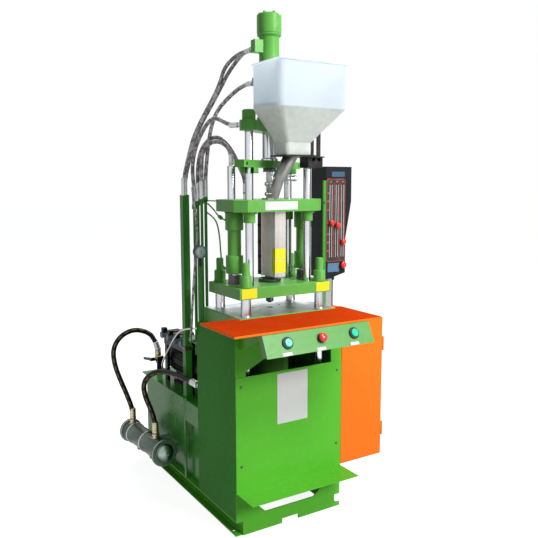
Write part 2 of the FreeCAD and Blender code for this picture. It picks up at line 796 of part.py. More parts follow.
def chute():
    """Round feed pipe in two slanted lengths, with its clamp strip, bolts and foot plate."""
    item = subpart("Part::Feature", "chute")
    plate = D.injection_plate_top.number
    foot = (CHUTE_FOOT[0], CHUTE_FOOT[1], plate - 8)
    head = tuple(b + 1.1 * (t - b) for b, t in zip(CHUTE_BEND, CHUTE_TOP))
    solid = tube_along(CHUTE_BEND, head, 26).fuse(tube_along(foot, CHUTE_BEND, 21))
    solid = solid.fuse(Part.makeCylinder(26.5, 20, V(CHUTE_BEND[0], CHUTE_BEND[1], 1378)))
    solid = solid.fuse(tube_along((-50, -108, 1388), (-34, -108, 1388), 9))
    solid = solid.fuse(tube_along((-20, -108, 1388), (12, -108, 1388), 12))
    hollow = tube_along(CHUTE_BEND, head, 23).fuse(tube_along(foot, CHUTE_BEND, 18))
    solid = solid.cut(hollow.fuse(Part.makeSphere(18, V(*CHUTE_BEND))))
    solid = solid.cut(tube_along((-70, -108, 1388), (60, -108, 1388), 5.1))
    x, y = CHUTE_FOOT
    pad = Part.makeBox(62, 46, 6, V(x - 31, y - 22, plate))
    solid = solid.fuse(pad.cut(Part.makeCylinder(16, 8, V(x, y, plate - 1))))
    for z in (plate + 22, plate + 60):
        solid = solid.fuse(tube_along((-72, -100, z), (-52 + (z - plate) * 0.28, -100, z), 4.5))
        solid = solid.fuse(tube_along((-80, -100, z), (-72, -100, z), 7))
    keep = Part.makeBox(300, 300, 1470 - plate, V(-150, -250, plate))
    item.Shape = solid.common(keep).removeSplitter()
    placed(item, None, (0, 0, 0))


def gate_knob():
    """Shut-off gate of the chute: rod with a disc at the left and a capped tube at the right."""
    item = body("gate_knob")
    turned(item, "x", (0, -108, 1388), [
        (-64, 0), (-64, 13), (-62, 14), (-58, 14), (-56, 13), (-56, 5), (26, 5), (26, 10), (44, 10),
        (44, 12), (54, 12), (56, 10), (56, 0),
    ])


HOPPER = SimpleNamespace(left=-138, right=158, front=-297, back=-96, rim=1804, knee=1640, neck=1521,
                         low=1475)


def rounded(x0, y0, x1, y1, radius, steps=4):
    """Rectangle with rounded corners, as an even row of points."""
    loop = []
    for x, y, turn in ((x1 - radius, y0 + radius, -90), (x1 - radius, y1 - radius, 0),
                       (x0 + radius, y1 - radius, 90), (x0 + radius, y0 + radius, 180)):
        for step in range(steps + 1):
            a = math.radians(turn + 90 * step / steps)
            loop.append((x + radius * math.cos(a), y + radius * math.sin(a)))
    return loop


def hopper():
    """Open feed hopper: rounded square top with a lip, tapered cone and a straight neck."""
    item = body("hopper")
    h = HOPPER

    def level(inset, radius=20):
        return rounded(h.left + inset, h.front + inset, h.right - inset, h.back - inset, radius)

    def neck(inset):
        return rounded(-38 + inset, -189 + inset, 73 - inset, -100 - inset, 10 - inset)

    grow(item, "z", [level(0), level(3, 17)], h.knee, h.rim)
    grow(item, "z", [level(-7, 27), level(1, 19)], h.rim - 4, h.rim)
    for inset, kind in ((0, "AdditiveLoft"), (3, "SubtractiveLoft")):
        loft = item.newObject("PartDesign::" + kind, "cone")
        loft.Profile = sketch(item, "XY_Plane", [neck(inset)], level=h.neck)
        loft.Sections = [sketch(item, "XY_Plane", [level(inset, 20 - inset)], level=h.knee)]
        loft.Ruled = True
    grow(item, "z", [neck(0), neck(3)], h.low, h.neck)


def hopper_bracket():
    """Black flange under the hopper, the clamp block on the free column and two flat posts."""
    item = body("hopper_bracket")
    x, y, z = CHUTE_TOP
    grow(item, "z", [box(-50, -201, 85, -88), disc(x, y, 22)], 1470, 1475)
    grow(item, "z", [box(84, -116, 188, -46)], 1470, 1475)
    x, y = D.column_half_width, -D.column_half_depth
    grow(item, "z", [box(116, -104, 188, -46), disc(x, y, D.column_radius + 0.4)], 1430, 1470.5)
    cut(item, "y", [box(136, 1456, 150, 1468), box(163, 1456, 177, 1468)], -105, -45)
    for x in (134, 167):
        grow(item, "z", [box(x, -95.7, x + 16, -88)], 1474, 1668)
    grow(item, "z", [box(134, -95.7, 183, -88)], 1644, 1668)


# ---------------------------------------------------------------- control box

def control_post():
    """Flat post on its foot, with the cable block behind it and the two screws."""
    item = body("control_post")
    grow(item, "z", [box(271, 1, 285, 9)], D.cabinet_top, 1380)
    grow(item, "z", [box(262, -8, 324, 46)], D.cabinet_top, D.cabinet_top + 8)
    grow(item, "z", [box(292, 8, 324, 40)], D.cabinet_top + 7, 955)
    for z in (1000, 1289):
        turned(item, "y", (278, 1, z), [(-6, 0), (-6, 4), (-5, 5), (0.5, 5), (0.5, 0)])


SLOTS = (310, 343, 373)


def slots():
    return [box(x - 3, 1048, x + 3, 1364) for x in SLOTS]


def control_box():
    item = body("control_box")
    outer = [
        (285, 960), (300, 955), (392, 978), (392, 1128), (422, 1290), (422, 1439), (285, 1439),
    ]
    grow(item, "y", [outer], 2, 110)
    cavity = [(289, 966), (388, 986), (388, 1130), (418, 1292), (418, 1435), (289, 1435)]
    cut(item, "y", [cavity], 8, 106)
    cut(item, "y", slots(), 1, 9)
    cut(item, "y", [disc(373, 1014, 6.3)], 1, 9)
    x, y = CONDUIT
    turned(item, "z", (x, y, 0), ring(944, 975, 9.3, 14, 2))
    cut(item, "z", [disc(x, y, 9.3)], 943, 987)


def scale_plate():
    item = body("scale_plate")
    grow(item, "y", [box(286, 1030, 387, 1388)] + slots(), 0, 2)


def slider_knobs():
    for number_, (x, z) in enumerate(zip(SLOTS, (1200, 1188, 1116)), 1):
        item = body("slider_knob_%d" % number_)
        turned(item, "y", (x, 0, z), [
            (-19, 0), (-18, 7), (-14, 12), (-9, 13.5), (-5, 12.5), (-2, 9), (-1, 5), (-1, 2.8),
            (12, 2.8), (12, 7), (16, 7), (16, 0),
        ])


def reset_button():
    item = body("reset_button")
    turned(item, "y", (373, 0, 1014), [
        (-21, 0), (-20, 8), (-16, 13.5), (-12, 15), (-8, 14), (-6, 10), (-5, 10), (-5, 6.2),
        (14, 6.2), (14, 7), (17, 7), (17, 0),
    ])


def cable_conduit():
    """Corrugated cable conduit from the control box down to the electric cabinet."""
    item = subpart("Part::Feature", "cable_conduit")
    x, y = CONDUIT
    item.Shape = hose([(x, y, 962), (x, y, 792)], 9)
    placed(item, None, (0, 0, 0))


# ---------------------------------------------------------------- hydraulics

def oil_tank():
    item = body("oil_tank")
    half, rear, top = D.base_half, D.tank_rear, D.tank_top
    outer = box(22 - half, D.base_rear, half - 22, rear)
    grow(item, "z", [outer], D.rail_height, top - 6)
    grow(item, "z", [box(-half, D.base_rear, half, rear + 4)], top - 6, top)
    turned(item, "z", (150, 720, top), [(-3, 0), (-3, 34), (4, 34), (4, 0)])
    cut(item, "z", [disc(150, 720, 22)], top - 7, top + 5)
    cut(item, "z", [box(26 - half, D.base_rear + 4, half - 26, rear - 4)], D.rail_height + 4,
        top - 6)
    front, low = D.base_rear, D.rail_height
    side = [(front, 331), (305, 331), (305, low), (324, low), (324, top - 6), (front, top - 6)]
    grow(item, "x", [side], -half, 6 - half)


def tank_breather():
    item = body("tank_breather")
    turned(item, "z", (150, 720, D.tank_top), [
        (-30, 0), (-30, 21), (4, 21), (4, 32), (12, 32), (14, 28), (45, 28), (50, 22), (50, 0),
    ])


MOTOR = SimpleNamespace(x=-105, y=430, z=525)


def motor():
    item = body("motor")
    centre = (MOTOR.x, 0, MOTOR.z)
    turned(item, "y", centre, [
        (400, 0), (400, 60), (412, 60), (412, 72), (610, 72), (610, 0),
    ])
    for turn in range(0, 360, 24):
        a = math.radians(turn)
        c, s = math.cos(a), math.sin(a)
        x, z = MOTOR.x + 75 * c, MOTOR.z + 75 * s
        fin = [(x - 5 * c - 1.5 * s, z - 5 * s + 1.5 * c), (x + 6 * c - 1.5 * s, z + 6 * s + 1.5 * c),
               (x + 6 * c + 1.5 * s, z + 6 * s - 1.5 * c), (x - 5 * c + 1.5 * s, z - 5 * s - 1.5 * c)]
        if s > -0.7:
            grow(item, "y", [fin], 420, 605)
    turned(item, "y", centre, [(401, 0), (401, 9), (609, 9), (609, 0)], "Groove")
    turned(item, "y", centre, [(399, 0), (399, 9), (402, 9), (402, 0)], "Groove")
    turned(item, "y", centre, [(608, 0), (608, 9), (611, 9), (611, 0)], "Groove")
    for x in (-60, 60):
        grow(item, "z", [box(MOTOR.x + x - 14, 430, MOTOR.x + x + 14, 590)],
             D.tank_top, D.tank_top + 12)
        grow(item, "z", [box(MOTOR.x + x - 6, 440, MOTOR.x + x + 6, 580)],
             D.tank_top + 12, MOTOR.z - 40)
    grow(item, "z", [box(MOTOR.x - 25, 460, MOTOR.x + 40, 540)], MOTOR.z + 60, MOTOR.z + 98)
    turned(item, "y", centre, [
        (610, 70), (610, 76), (668, 76), (672, 72), (672, 30), (670, 30), (670, 70),
    ])


def motor_shaft():
    """Shafts of motor and pump with the coupling between them and the cooling fan."""
    item = body("motor_shaft")
    turned(item, "y", (MOTOR.x, 0, MOTOR.z), [
        (340, 0), (340, 24), (385, 24), (385, 8.9), (625, 8.9), (625, 14), (655, 14), (655, 0),
    ])
    turned(item, "y", (MOTOR.x, 0, MOTOR.z), [
        (291, 0), (291, 9), (320, 9), (320, 24), (339.5, 24), (339.5, 0),
    ])
    for turn in range(0, 360, 60):
        a = math.radians(turn)
        c, s = math.cos(a), math.sin(a)
        x, z = MOTOR.x, MOTOR.z
        blade = [(x + 12 * c - 2 * s, z + 12 * s + 2 * c), (x + 62 * c - 2 * s, z + 62 * s + 2 * c),
                 (x + 62 * c + 2 * s, z + 62 * s - 2 * c), (x + 12 * c + 2 * s, z + 12 * s - 2 * c)]
        grow(item, "y", [blade], 628, 652)


def pump():
    item = body("pump")
    x, z = MOTOR.x, MOTOR.z
    grow(item, "y", [box(x - 42, z - 52, x + 42, z + 52)], 218, 300)
    cut(item, "y", [disc(x, z, 9.1)], 290, 301)
    grow(item, "x", [disc(258, z + 5, 16)], x - 66, x - 42)
    eased(item, 10, lambda c, e: e.Length > 60 and abs(c.y - 259) < 1, "Fillet")
    turned(item, "y", (x, 0, z), [
        (299, 12), (299, 45), (312, 45), (330, 58), (399.9, 58), (399.9, 50), (335, 50), (318, 38),
        (312, 12),
    ])


def valve_stack():
    """Manifold block on its upright with four solenoid valves and their connectors."""
    item = body("valve_stack")
    grow(item, "z", [box(-205, 340, -135, 640)], 605, 640)
    grow(item, "z", [box(-200, 344, -186, 384)], D.tank_top, 605)
    grow(item, "z", [box(-202, 612, -188, 640)], D.tank_top, 605)
    x, y, z = TAP
    turned(item, "x", (x, y, z), [(0.2, 0), (0.2, 8), (12, 8), (12, 20), (44, 20), (44, 0)])
    grow(item, "z", [disc(x + 28, y, 14)], D.tank_top, z)
    turned(item, "z", (x + 22, y + 2, z), [(0, 0), (0, 10), (18, 10), (20, 15), (28, 17), (36, 17),
                                           (42, 15), (42, 0)])
    for y in (360, 432, 504, 576):
        grow(item, "z", [box(-202, y, -138, y + 48)], 640, 672)
        grow(item, "x", [disc(y + 24, 656, 15)], -236, -202)
        grow(item, "x", [disc(y + 24, 656, 15)], -138, -104)
        grow(item, "z", [box(-230, y + 12, -208, y + 36)], 668, 690)


TAP = (-214, 752, 500)
GAUGE = (-237, 146, 1091)


def pressure_gauge():
    item = body("pressure_gauge")
    x, y, z = GAUGE
    turned(item, "y", (x, y, z), [(0, 0), (0, 25), (3, 27), (26, 27), (28, 24), (28, 0)])
    turned(item, "y", (x, y, z), [(-1, 0), (-1, 23.5), (5, 23.5), (5, 0)], "Groove")
    grow(item, "z", [disc(x, y + 14, 6)], z - 60, z - 25)


def gauge_needle():
    item = body("gauge_needle")
    x, y, z = GAUGE
    turned(item, "y", (x, y, z), [(2, 0), (2, 3), (4.9, 3), (4.9, 0)])
    grow(item, "y", [[(x - 1.6, z - 7), (x + 1.6, z - 7), (x + 0.5, z + 19), (x - 0.5, z + 19)]],
         y + 2.6, y + 3.6)


def tap_handle():
    """Lever of the shut-off tap beside the motor."""
    item = body("tap_handle")
    x, y, z = TAP
    turned(item, "x", (x, y, z), [(-20, 0), (-20, 9), (0, 9), (0, 0)])
    grow(item, "x", [[(y - 8, z - 7), (y + 8, z - 7), (y + 94, z - 20), (y + 96, z - 8),
                      (y + 8, z + 8), (y - 8, z + 8)]], x - 20, x - 14)


PIPES = (
    (-221, 238, 640, 1285, 7), (-213, 221, 690, 1300, 6), (-190, 196, 690, 1315, 6.5),
    (-209, 194, 690, 1308, 6),
)


def riser_pipes():
    """Square upright and the rigid pipes beside it, with their hexagonal unions."""
    item = body("riser_pipes")
    x, y = -228, 322
    grow(item, "z", [box(x - 15, y - 15, x + 15, y + 15)], D.tank_top, 1321)
    grow(item, "z", [box(x - 22, y - 30, x + 24, y + 20)], D.tank_top, D.tank_top + 6)
    grow(item, "z", [box(x - 19, y - 19, x + 19, y + 19)], 644, 660)
    for x, y, low, high, radius in PIPES:
        turned(item, "z", (x, y, 0), rod(low, high, radius))
        grow(item, "z", [hexagon(x, y, radius * 3)], high - 22, high - 4)
    grow(item, "x", [box(182, 690, 310, 706)], -234, -182)
    x, y, z = GAUGE
    turned(item, "z", (x, y + 14, 0), rod(D.base_top, z - 60, 6))
    grow(item, "z", [hexagon(x, y + 14, 18)], z - 82, z - 64)


# ---------------------------------------------------------------- oil cooler

COOLER_BASE = (-305, 418, 150)
COOLER_FITTINGS = (88, 332)


def oil_cooler():
    """Cooler tube with a domed front end, clamp rings with feet, and the two hose fittings."""
    item = body("oil_cooler", ((0, 0, 1), 5), COOLER_BASE)
    turned(item, "y", (0, 0, 0), [(10, 0), (10, 48), (354, 48), (354, 0)])
    turned(item, "y", (0, 0, 0), [(13, 0), (13, 45), (351, 45), (351, 0)], "Groove")
    turned(item, "y", (0, 0, 0), [
        (-30, 0), (-29, 11), (-25, 22), (-18, 32), (-9, 39), (0, 42), (0, 62), (2, 64), (10, 64),
        (12, 62), (12, 0),
    ])
    turned(item, "y", (0, 0, 0), [
        (352, 0), (352, 55), (354, 57), (364, 57), (366, 55), (366, 44), (371, 30), (373, 0),
    ])
    for y, reach in ((165, 80), (300, 101)):
        turned(item, "y", (0, y, 0), ring(0, 8, 46, 51, 1))
        grow(item, "z", [box(10, y - 6, reach, y + 14)], 63.2 - 150, -44.5)
    for y in COOLER_FITTINGS:
        turned(item, "z", (0, y, 0), [(42, 0), (42, 15), (56, 15), (56, 17), (64, 17), (64, 13),
                                      (70, 13), (70, 0)])


def hose(points, radius):
    """Round hose along straight runs joined by tangent arcs."""
    stops = [V(*p) for p in points]
    edges, start, radii = [], stops[0], []
    for before, corner, after in zip(stops, stops[1:], stops[2:]):
        back, ahead = before - corner, after - corner
        short = min(back.Length, ahead.Length) * 0.45
        back.normalize()
        ahead.normalize()
        turn = math.pi - back.getAngle(ahead)
        bend = short / math.tan(turn / 2)
        radii.append(bend)
        into, out = corner + back * short, corner + ahead * short
        middle_way = (back + ahead).normalize()
        centre = corner + middle_way * math.hypot(short, bend)
        middle = centre - middle_way * bend
        edges.append(Part.LineSegment(start, into).toShape())
        edges.append(Part.Arc(into, middle, out).toShape())
        start = out
    edges.append(Part.LineSegment(start, stops[-1]).toShape())
    spine = Part.Wire(edges)
    ring_ = Part.Wire([Part.Circle(stops[0], stops[1] - stops[0], radius).toShape()])
    made = Part.Wire(spine).makePipeShell([ring_], True, True)
    want = spine.Length * math.pi * radius ** 2
    print("hose of radius %.1f: length %.0f, least bend %.0f, volume ratio %.3f"
          % (radius, spine.Length, min(radii, default=0), made.Volume / want))
    return made


ROUTES = {
    "cooler_hoses": (D.hose_radius, [
        [(-333.9, 748.7, 220.3), (-333.9, 748.7, 262), (-362, 748, 345), (-393, 748, 425),
         (-419, 748, 505), (-424, 749, 584), (-382, 751, 642), (-313.5, 753, 664),
         (-245, 754, 642), (-210, 754, 606), (-191.2, 754, 546.6)],
        [(-312.7, 505.7, 220.3), (-313.5, 506, 266), (-331, 512, 335), (-352, 526, 395),
         (-358, 530, 450), (-344, 511, 492), (-320, 478, 517), (-292, 433, 526),
         (-270, 372, 527), (-257, 312, 523), (-243, 258, 518), (-240, 205.5, 517)],
    ]),
    "hose_loom": (D.line_radius, [
        [(-235, 315, 1321), (-235, 315, 1385), (-208, 318, 1480), (-190, 310, 1555),
         (-165, 280, 1631), (-131, 245, 1710), (-108, 215, 1776), (-96, 195, 1842),
         (-66, 150, 1885), (-42, 100, 1897), (-42, 41.3, 1897)],
        [(-221, 329, 1321), (-221, 329, 1385), (-194, 331, 1478), (-176, 324, 1552),
         (-151, 294, 1628), (-118, 258, 1706), (-97, 222, 1768), (-84, 180, 1822),
         (-68, 132, 1866), (-62, 88, 1888), (-62, 41.3, 1888)],
        [(-190, 196, 1315), (-190, 196, 1375), (-187, 188, 1455), (-178, 184, 1540),
         (-160, 188, 1612), (-134, 186, 1668), (-102, 160, 1712), (-74, 120, 1748),
         (-57, 82, 1762), (-57, 41.3, 1762)],
        [(-221, 238, 1285), (-221, 238, 1345), (-224, 250, 1425), (-216, 240, 1505),
         (-204, 200, 1570), (-200, 145, 1612), (-194, 95, 1628), (-177, 43, 1604),
         (-163.1, 16, 1592), (-150.2, -8.6, 1592)],
        [(-213, 221, 1300), (-213, 221, 1360), (-207, 232, 1437), (-190, 232, 1510),
         (-164, 205, 1553), (-140, 165, 1558), (-124, 120, 1526), (-113, 82, 1478),
         (-108, 50, 1430), (-97, 26, 1385), (-97, 26, 1332.3)],
        [(-209, 194, 1308), (-209, 194, 1370), (-207, 193, 1430), (-206, 192, 1488),
         (-192.5, 169, 1524.7), (-170.6, 131.7, 1538.8), (-148.8, 94.4, 1524.7),
         (-135.3, 71.4, 1488), (-135.3, 71.4, 1448.3)],
    ]),
}


def hoses():
    for name, (radius, routes) in ROUTES.items():
        item = subpart("Part::Feature", name)
        item.Shape = Part.makeCompound([hose(points, radius.number) for points in routes])
        placed(item, None, (0, 0, 0))


for make in (
    skid_frame, base_cabinet, front_panel, base_fasteners, instruction_plate, lower_platen,
    table, console, button_bezels, buttons, electric_cabinet, cabinet_door, control_gear,
    clamp_cylinder, clamp_rod, clamp_crosshead, tie_bars, platen_nuts, moving_platen,
    guide_columns, top_plate, injection_cylinder, injection_rod, crosshead, plunger,
    injection_plate, guide_bushes, barrel, nozzle, heaters, barrel_cover, carriage_cylinders,
    carriage_rods, chute, gate_knob, hopper, hopper_bracket, control_post, control_box,
    scale_plate, slider_knobs, reset_button, cable_conduit, oil_tank, tank_breather, motor,
    motor_shaft, pump, valve_stack, pressure_gauge, gauge_needle, tap_handle, riser_pipes,
    oil_cooler, hoses,
):
    make()

doc.recompute()
faults = []
for item in doc.Objects:
    if any(word in item.State for word in ("Invalid", "Error")):
        faults.append("%s: %s" % (item.Label, item.State))
    if item.TypeId in ("PartDesign::Pocket", "PartDesign::Groove", "PartDesign::SubtractiveLoft"):
        if item.Shape.Volume > item.BaseFeature.Shape.Volume - 1:
            owner = item.getParentGeoFeatureGroup()
            faults.append("%s in %s cuts nothing" % (item.Label, owner.Label))
for item in SUBPARTS:
    if item.Shape.isNull() or not item.Shape.isValid() or item.Shape.Volume < 1:
        faults.append("%s has no valid solid" % item.Label)
if faults:
    raise SystemExit("\n".join(faults))

os.makedirs("parts", exist_ok=True)
for item in SUBPARTS:
    item.Shape.exportStep("parts/%s.step" % item.Label)
print("wrote", len(SUBPARTS), "parts")
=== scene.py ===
"""Vertical injection moulding machine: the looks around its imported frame."""

import math

import bpy
import numpy as np
from mathutils import Matrix, Vector


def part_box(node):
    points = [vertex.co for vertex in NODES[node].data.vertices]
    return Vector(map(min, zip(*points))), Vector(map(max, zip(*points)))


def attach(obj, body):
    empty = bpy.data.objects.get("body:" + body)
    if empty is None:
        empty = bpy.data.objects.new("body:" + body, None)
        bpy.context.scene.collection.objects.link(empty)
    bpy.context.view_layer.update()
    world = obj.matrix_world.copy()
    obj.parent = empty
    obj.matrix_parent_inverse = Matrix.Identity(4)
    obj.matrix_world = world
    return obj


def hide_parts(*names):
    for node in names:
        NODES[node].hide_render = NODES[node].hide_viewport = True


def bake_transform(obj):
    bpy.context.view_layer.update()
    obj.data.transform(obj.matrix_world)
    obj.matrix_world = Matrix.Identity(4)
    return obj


bl_info = {
    "name": "Injection moulding machine",
    "version": (1, 0, 0),
    "blender": (4, 5, 0),
    "location": "View3D > Sidebar > Machine",
    "description": "Finishes, hoses, fittings and blank plates of a vertical moulding machine",
    "category": "Object",
}

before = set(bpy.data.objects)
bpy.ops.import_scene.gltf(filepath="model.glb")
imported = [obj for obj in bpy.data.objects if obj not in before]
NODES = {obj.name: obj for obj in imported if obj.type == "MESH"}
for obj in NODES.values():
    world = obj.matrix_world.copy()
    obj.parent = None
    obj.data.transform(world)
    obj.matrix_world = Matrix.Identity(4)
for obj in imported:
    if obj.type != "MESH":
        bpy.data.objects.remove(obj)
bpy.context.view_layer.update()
# The part's own drawing frame stands this far forward of the row frame, in metres.
BACK = -0.3235


# ------------------------------------------------------------------ surfaces

def place(name, verts, faces, body, material, uv=None, smooth=True):
    """Make a mesh piece from arrays; uv holds one pair for each face corner, in face order."""
    mesh = bpy.data.meshes.new(name)
    mesh.from_pydata(np.asarray(verts, float).tolist(), [], faces)
    if uv is not None:
        layer = mesh.uv_layers.new(name="UVMap")
        layer.data.foreach_set("uv", np.asarray(uv, np.float32).ravel())
    mesh.polygons.foreach_set("use_smooth", [smooth] * len(mesh.polygons))
    mesh.update()
    piece = bpy.data.objects.new(name, mesh)
    bpy.context.scene.collection.objects.link(piece)
    mesh.materials.append(material)
    if body:
        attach(piece, body)
    return piece


def axes(along):
    """Two unit vectors square to a direction, as arrays."""
    a = np.array(along, float)
    a = a / np.linalg.norm(a)
    side = np.cross(a, (0, 0, 1)) if abs(a[2]) < 0.9 else np.cross(a, (1, 0, 0))
    side = side / np.linalg.norm(side)
    return a, side, np.cross(a, side)


def lathe(start, along, profile, around=40, closed=True):
    """Surface of revolution: point(s, t) = start + h(s) a + r(s) (cos t u + sin t v)."""
    a, u, v = axes(along)
    heights, radii = np.array(profile, float).T
    t = np.linspace(0, 2 * math.pi, around, endpoint=False)
    circle = np.outer(np.cos(t), u) + np.outer(np.sin(t), v)
    rings = np.array(start, float) + heights[:, None, None] * a + radii[:, None, None] * circle
    return rings.reshape(-1, 3), tube_faces(len(profile), around, closed)


def tube_faces(rings, around, closed=True):
    """Quads of a grid of rings, and one face over each end, turned outwards."""
    i, j = np.meshgrid(np.arange(rings - 1), np.arange(around), indexing="ij")
    k = (j + 1) % around
    quads = np.stack([i * around + j, i * around + k, (i + 1) * around + k,
                      (i + 1) * around + j], -1).reshape(-1, 4)
    faces = quads.tolist()
    if closed:
        faces.append(list(range(around))[::-1])
        faces.append(list(range((rings - 1) * around, rings * around)))
    return faces


def joined(*parts):
    """Several (verts, faces) as one."""
    verts, faces, count = [], [], 0
    for points, polygons in parts:
        verts.append(np.asarray(points, float))
        faces += [[i + count for i in f] for f in polygons]
        count += len(points)
    return np.concatenate(verts), faces


def circle_points(angles):
    """Points (cos t, sin t) of the unit circle."""
    return np.stack([np.cos(angles), np.sin(angles)], 1)


def slab(low, high, round_by=0.0):
    """Box between two corners, with its upright edges rounded in its thinnest direction."""
    low, high = np.array(low, float), np.array(high, float)
    thin = int(np.argmin(high - low))
    p, q = [k for k in range(3) if k != thin]
    r = min(round_by, (high - low)[[p, q]].min() / 2.01)
    if r <= 0:
        outline = np.array([(low[p], low[q]), (high[p], low[q]), (high[p], high[q]),
                            (low[p], high[q])])
    else:
        t = np.linspace(0, math.pi / 2, 6)
        arcs = [((high[p] - r, high[q] - r), 0), ((low[p] + r, high[q] - r), 1),
                ((low[p] + r, low[q] + r), 2), ((high[p] - r, low[q] + r), 3)]
        outline = np.concatenate([corner + r * circle_points(t + n * math.pi / 2)
                                  for corner, n in arcs])
    if thin == 1:
        outline = outline[::-1]  # keeps the faces turned outwards
    count = len(outline)
    verts = np.zeros((2 * count, 3))
    verts[:count, [p, q]] = outline
    verts[count:, [p, q]] = outline
    verts[:count, thin], verts[count:, thin] = low[thin], high[thin]
    return verts, tube_faces(2, count)


def smooth_line(points, samples=12):
    """Points along the NURBS spline of a route."""
    curve = bpy.data.curves.new("line", "CURVE")
    curve.dimensions = "3D"
    curve.resolution_u = samples
    spline = curve.splines.new("NURBS")
    spline.points.add(len(points) - 1)
    for target, point in zip(spline.points, points):
        target.co = (*point, 1)
    spline.order_u = 3
    spline.use_endpoint_u = True
    holder = bpy.data.objects.new("line", curve)
    bpy.context.scene.collection.objects.link(holder)
    bpy.context.view_layer.update()
    made = bpy.data.meshes.new_from_object(holder)
    line = np.array([v.co for v in made.vertices], float)
    bpy.data.objects.remove(holder)
    bpy.data.curves.remove(curve)
    bpy.data.meshes.remove(made)
    return line


def distances(line):
    """How far along a line each of its points lies."""
    return np.concatenate([[0], np.cumsum(np.linalg.norm(np.diff(line, axis=0), axis=1))])


def tube(line, radius, around=20):
    """Tube about a line: point(s, t) = c(s) + r(s) (cos t n(s) + sin t b(s)), n carried along."""
    step = np.gradient(line, axis=0)
    step /= np.linalg.norm(step, axis=1)[:, None]
    normal = np.zeros_like(line)
    normal[0] = axes(step[0])[1]
    for k in range(1, len(line)):
        n = normal[k - 1] - step[k] * (normal[k - 1] @ step[k])
        normal[k] = n / np.linalg.norm(n)
    across = np.cross(step, normal)
    t = np.linspace(0, 2 * math.pi, around, endpoint=False)
    radii = np.broadcast_to(np.asarray(radius, float), len(line))[:, None, None]
    rings = line[:, None] + radii * (np.cos(t)[None, :, None] * normal[:, None]
                                     + np.sin(t)[None, :, None] * across[:, None])
    far = distances(line)
    a, b = np.arange(around) / around, np.arange(1, around + 1) / around
    uv = np.empty((len(line) - 1, around, 4, 2))
    uv[..., 0] = np.stack([a, b, b, a], -1)
    uv[..., 1] = np.stack([far[:-1], far[:-1], far[1:], far[1:]], -1)[:, None]
    ends = np.zeros((2 * around, 2))
    ends[around:, 1] = far[-1]
    return (rings.reshape(-1, 3), tube_faces(len(line), around),
            np.concatenate([uv.reshape(-1, 2), ends]))


# ------------------------------------------------------------------ finishes

def group(name, inputs, outputs):
    """A node group with its sockets: the tree, its input node and its output node."""
    tree = bpy.data.node_groups.new(name, "ShaderNodeTree")
    for label, kind, value in inputs:
        socket = tree.interface.new_socket(label, in_out="INPUT", socket_type=kind)
        socket.default_value = value
    for label, kind in outputs:
        tree.interface.new_socket(label, in_out="OUTPUT", socket_type=kind)
    return tree, tree.nodes.new("NodeGroupInput"), tree.nodes.new("NodeGroupOutput")


def node(tree, kind, links=(), **values):
    """Add a shader node; links is a list of (input, socket), values set properties or inputs."""
    made = tree.nodes.new("ShaderNode" + kind)
    for key, value in values.items():
        if hasattr(made, key):
            setattr(made, key, value)
        else:
            made.inputs[key.replace("_", " ")].default_value = value
    for key, socket in links:
        tree.links.new(socket, made.inputs[key])
    return made


def ramp(tree, factor, stops):
    """Colour ramp over a factor; stops is a list of (position, colour)."""
    made = node(tree, "ValToRGB", [("Fac", factor)])
    elements = made.color_ramp.elements
    while len(elements) < len(stops):
        elements.new(0.5)
    for element, (at, colour) in zip(elements, stops):
        element.position = at
        element.color = (*colour, 1) if len(colour) == 3 else colour
    return made.outputs["Color"]


def grey(value):
    """A colour without hue."""
    return (value, value, value)


def maths(tree, operation, a, b=0.0):
    """Math node on one or two sockets or numbers."""
    made = tree.nodes.new("ShaderNodeMath")
    made.operation = operation
    for slot, value in zip(made.inputs, (a, b)):
        if hasattr(value, "is_linked"):
            tree.links.new(value, slot)
        else:
            slot.default_value = value
    return made.outputs[0]


def mixed(tree, factor, a, b, blend="MIX"):
    """Mix node on a factor and two colours, each a socket or a value."""
    made = tree.nodes.new("ShaderNodeMix")
    made.data_type = "RGBA"
    made.blend_type = blend
    for slot, value in ((made.inputs[0], factor), (made.inputs[6], a), (made.inputs[7], b)):
        if hasattr(value, "is_linked"):
            tree.links.new(value, slot)
        else:
            slot.default_value = value if isinstance(value, float) else (*value[:3], 1)
    return made.outputs[2]


def noise(tree, at, scale, detail):
    """Noise value at a place; the scale is a number or a socket."""
    made = node(tree, "TexNoise", [("Vector", at)], Detail=detail)
    if hasattr(scale, "is_linked"):
        tree.links.new(scale, made.inputs["Scale"])
    else:
        made.inputs["Scale"].default_value = scale
    return made.outputs["Fac"]


def object_place(tree):
    """Coordinates that stay with the object."""
    return node(tree, "TexCoord").outputs["Object"]


def bumped(tree, shader, height, strength, distance):
    """Lead a height into the shader's normal."""
    bump = node(tree, "Bump", [("Height", height)], Strength=strength, Distance=distance)
    tree.links.new(bump.outputs["Normal"], shader.inputs["Normal"])


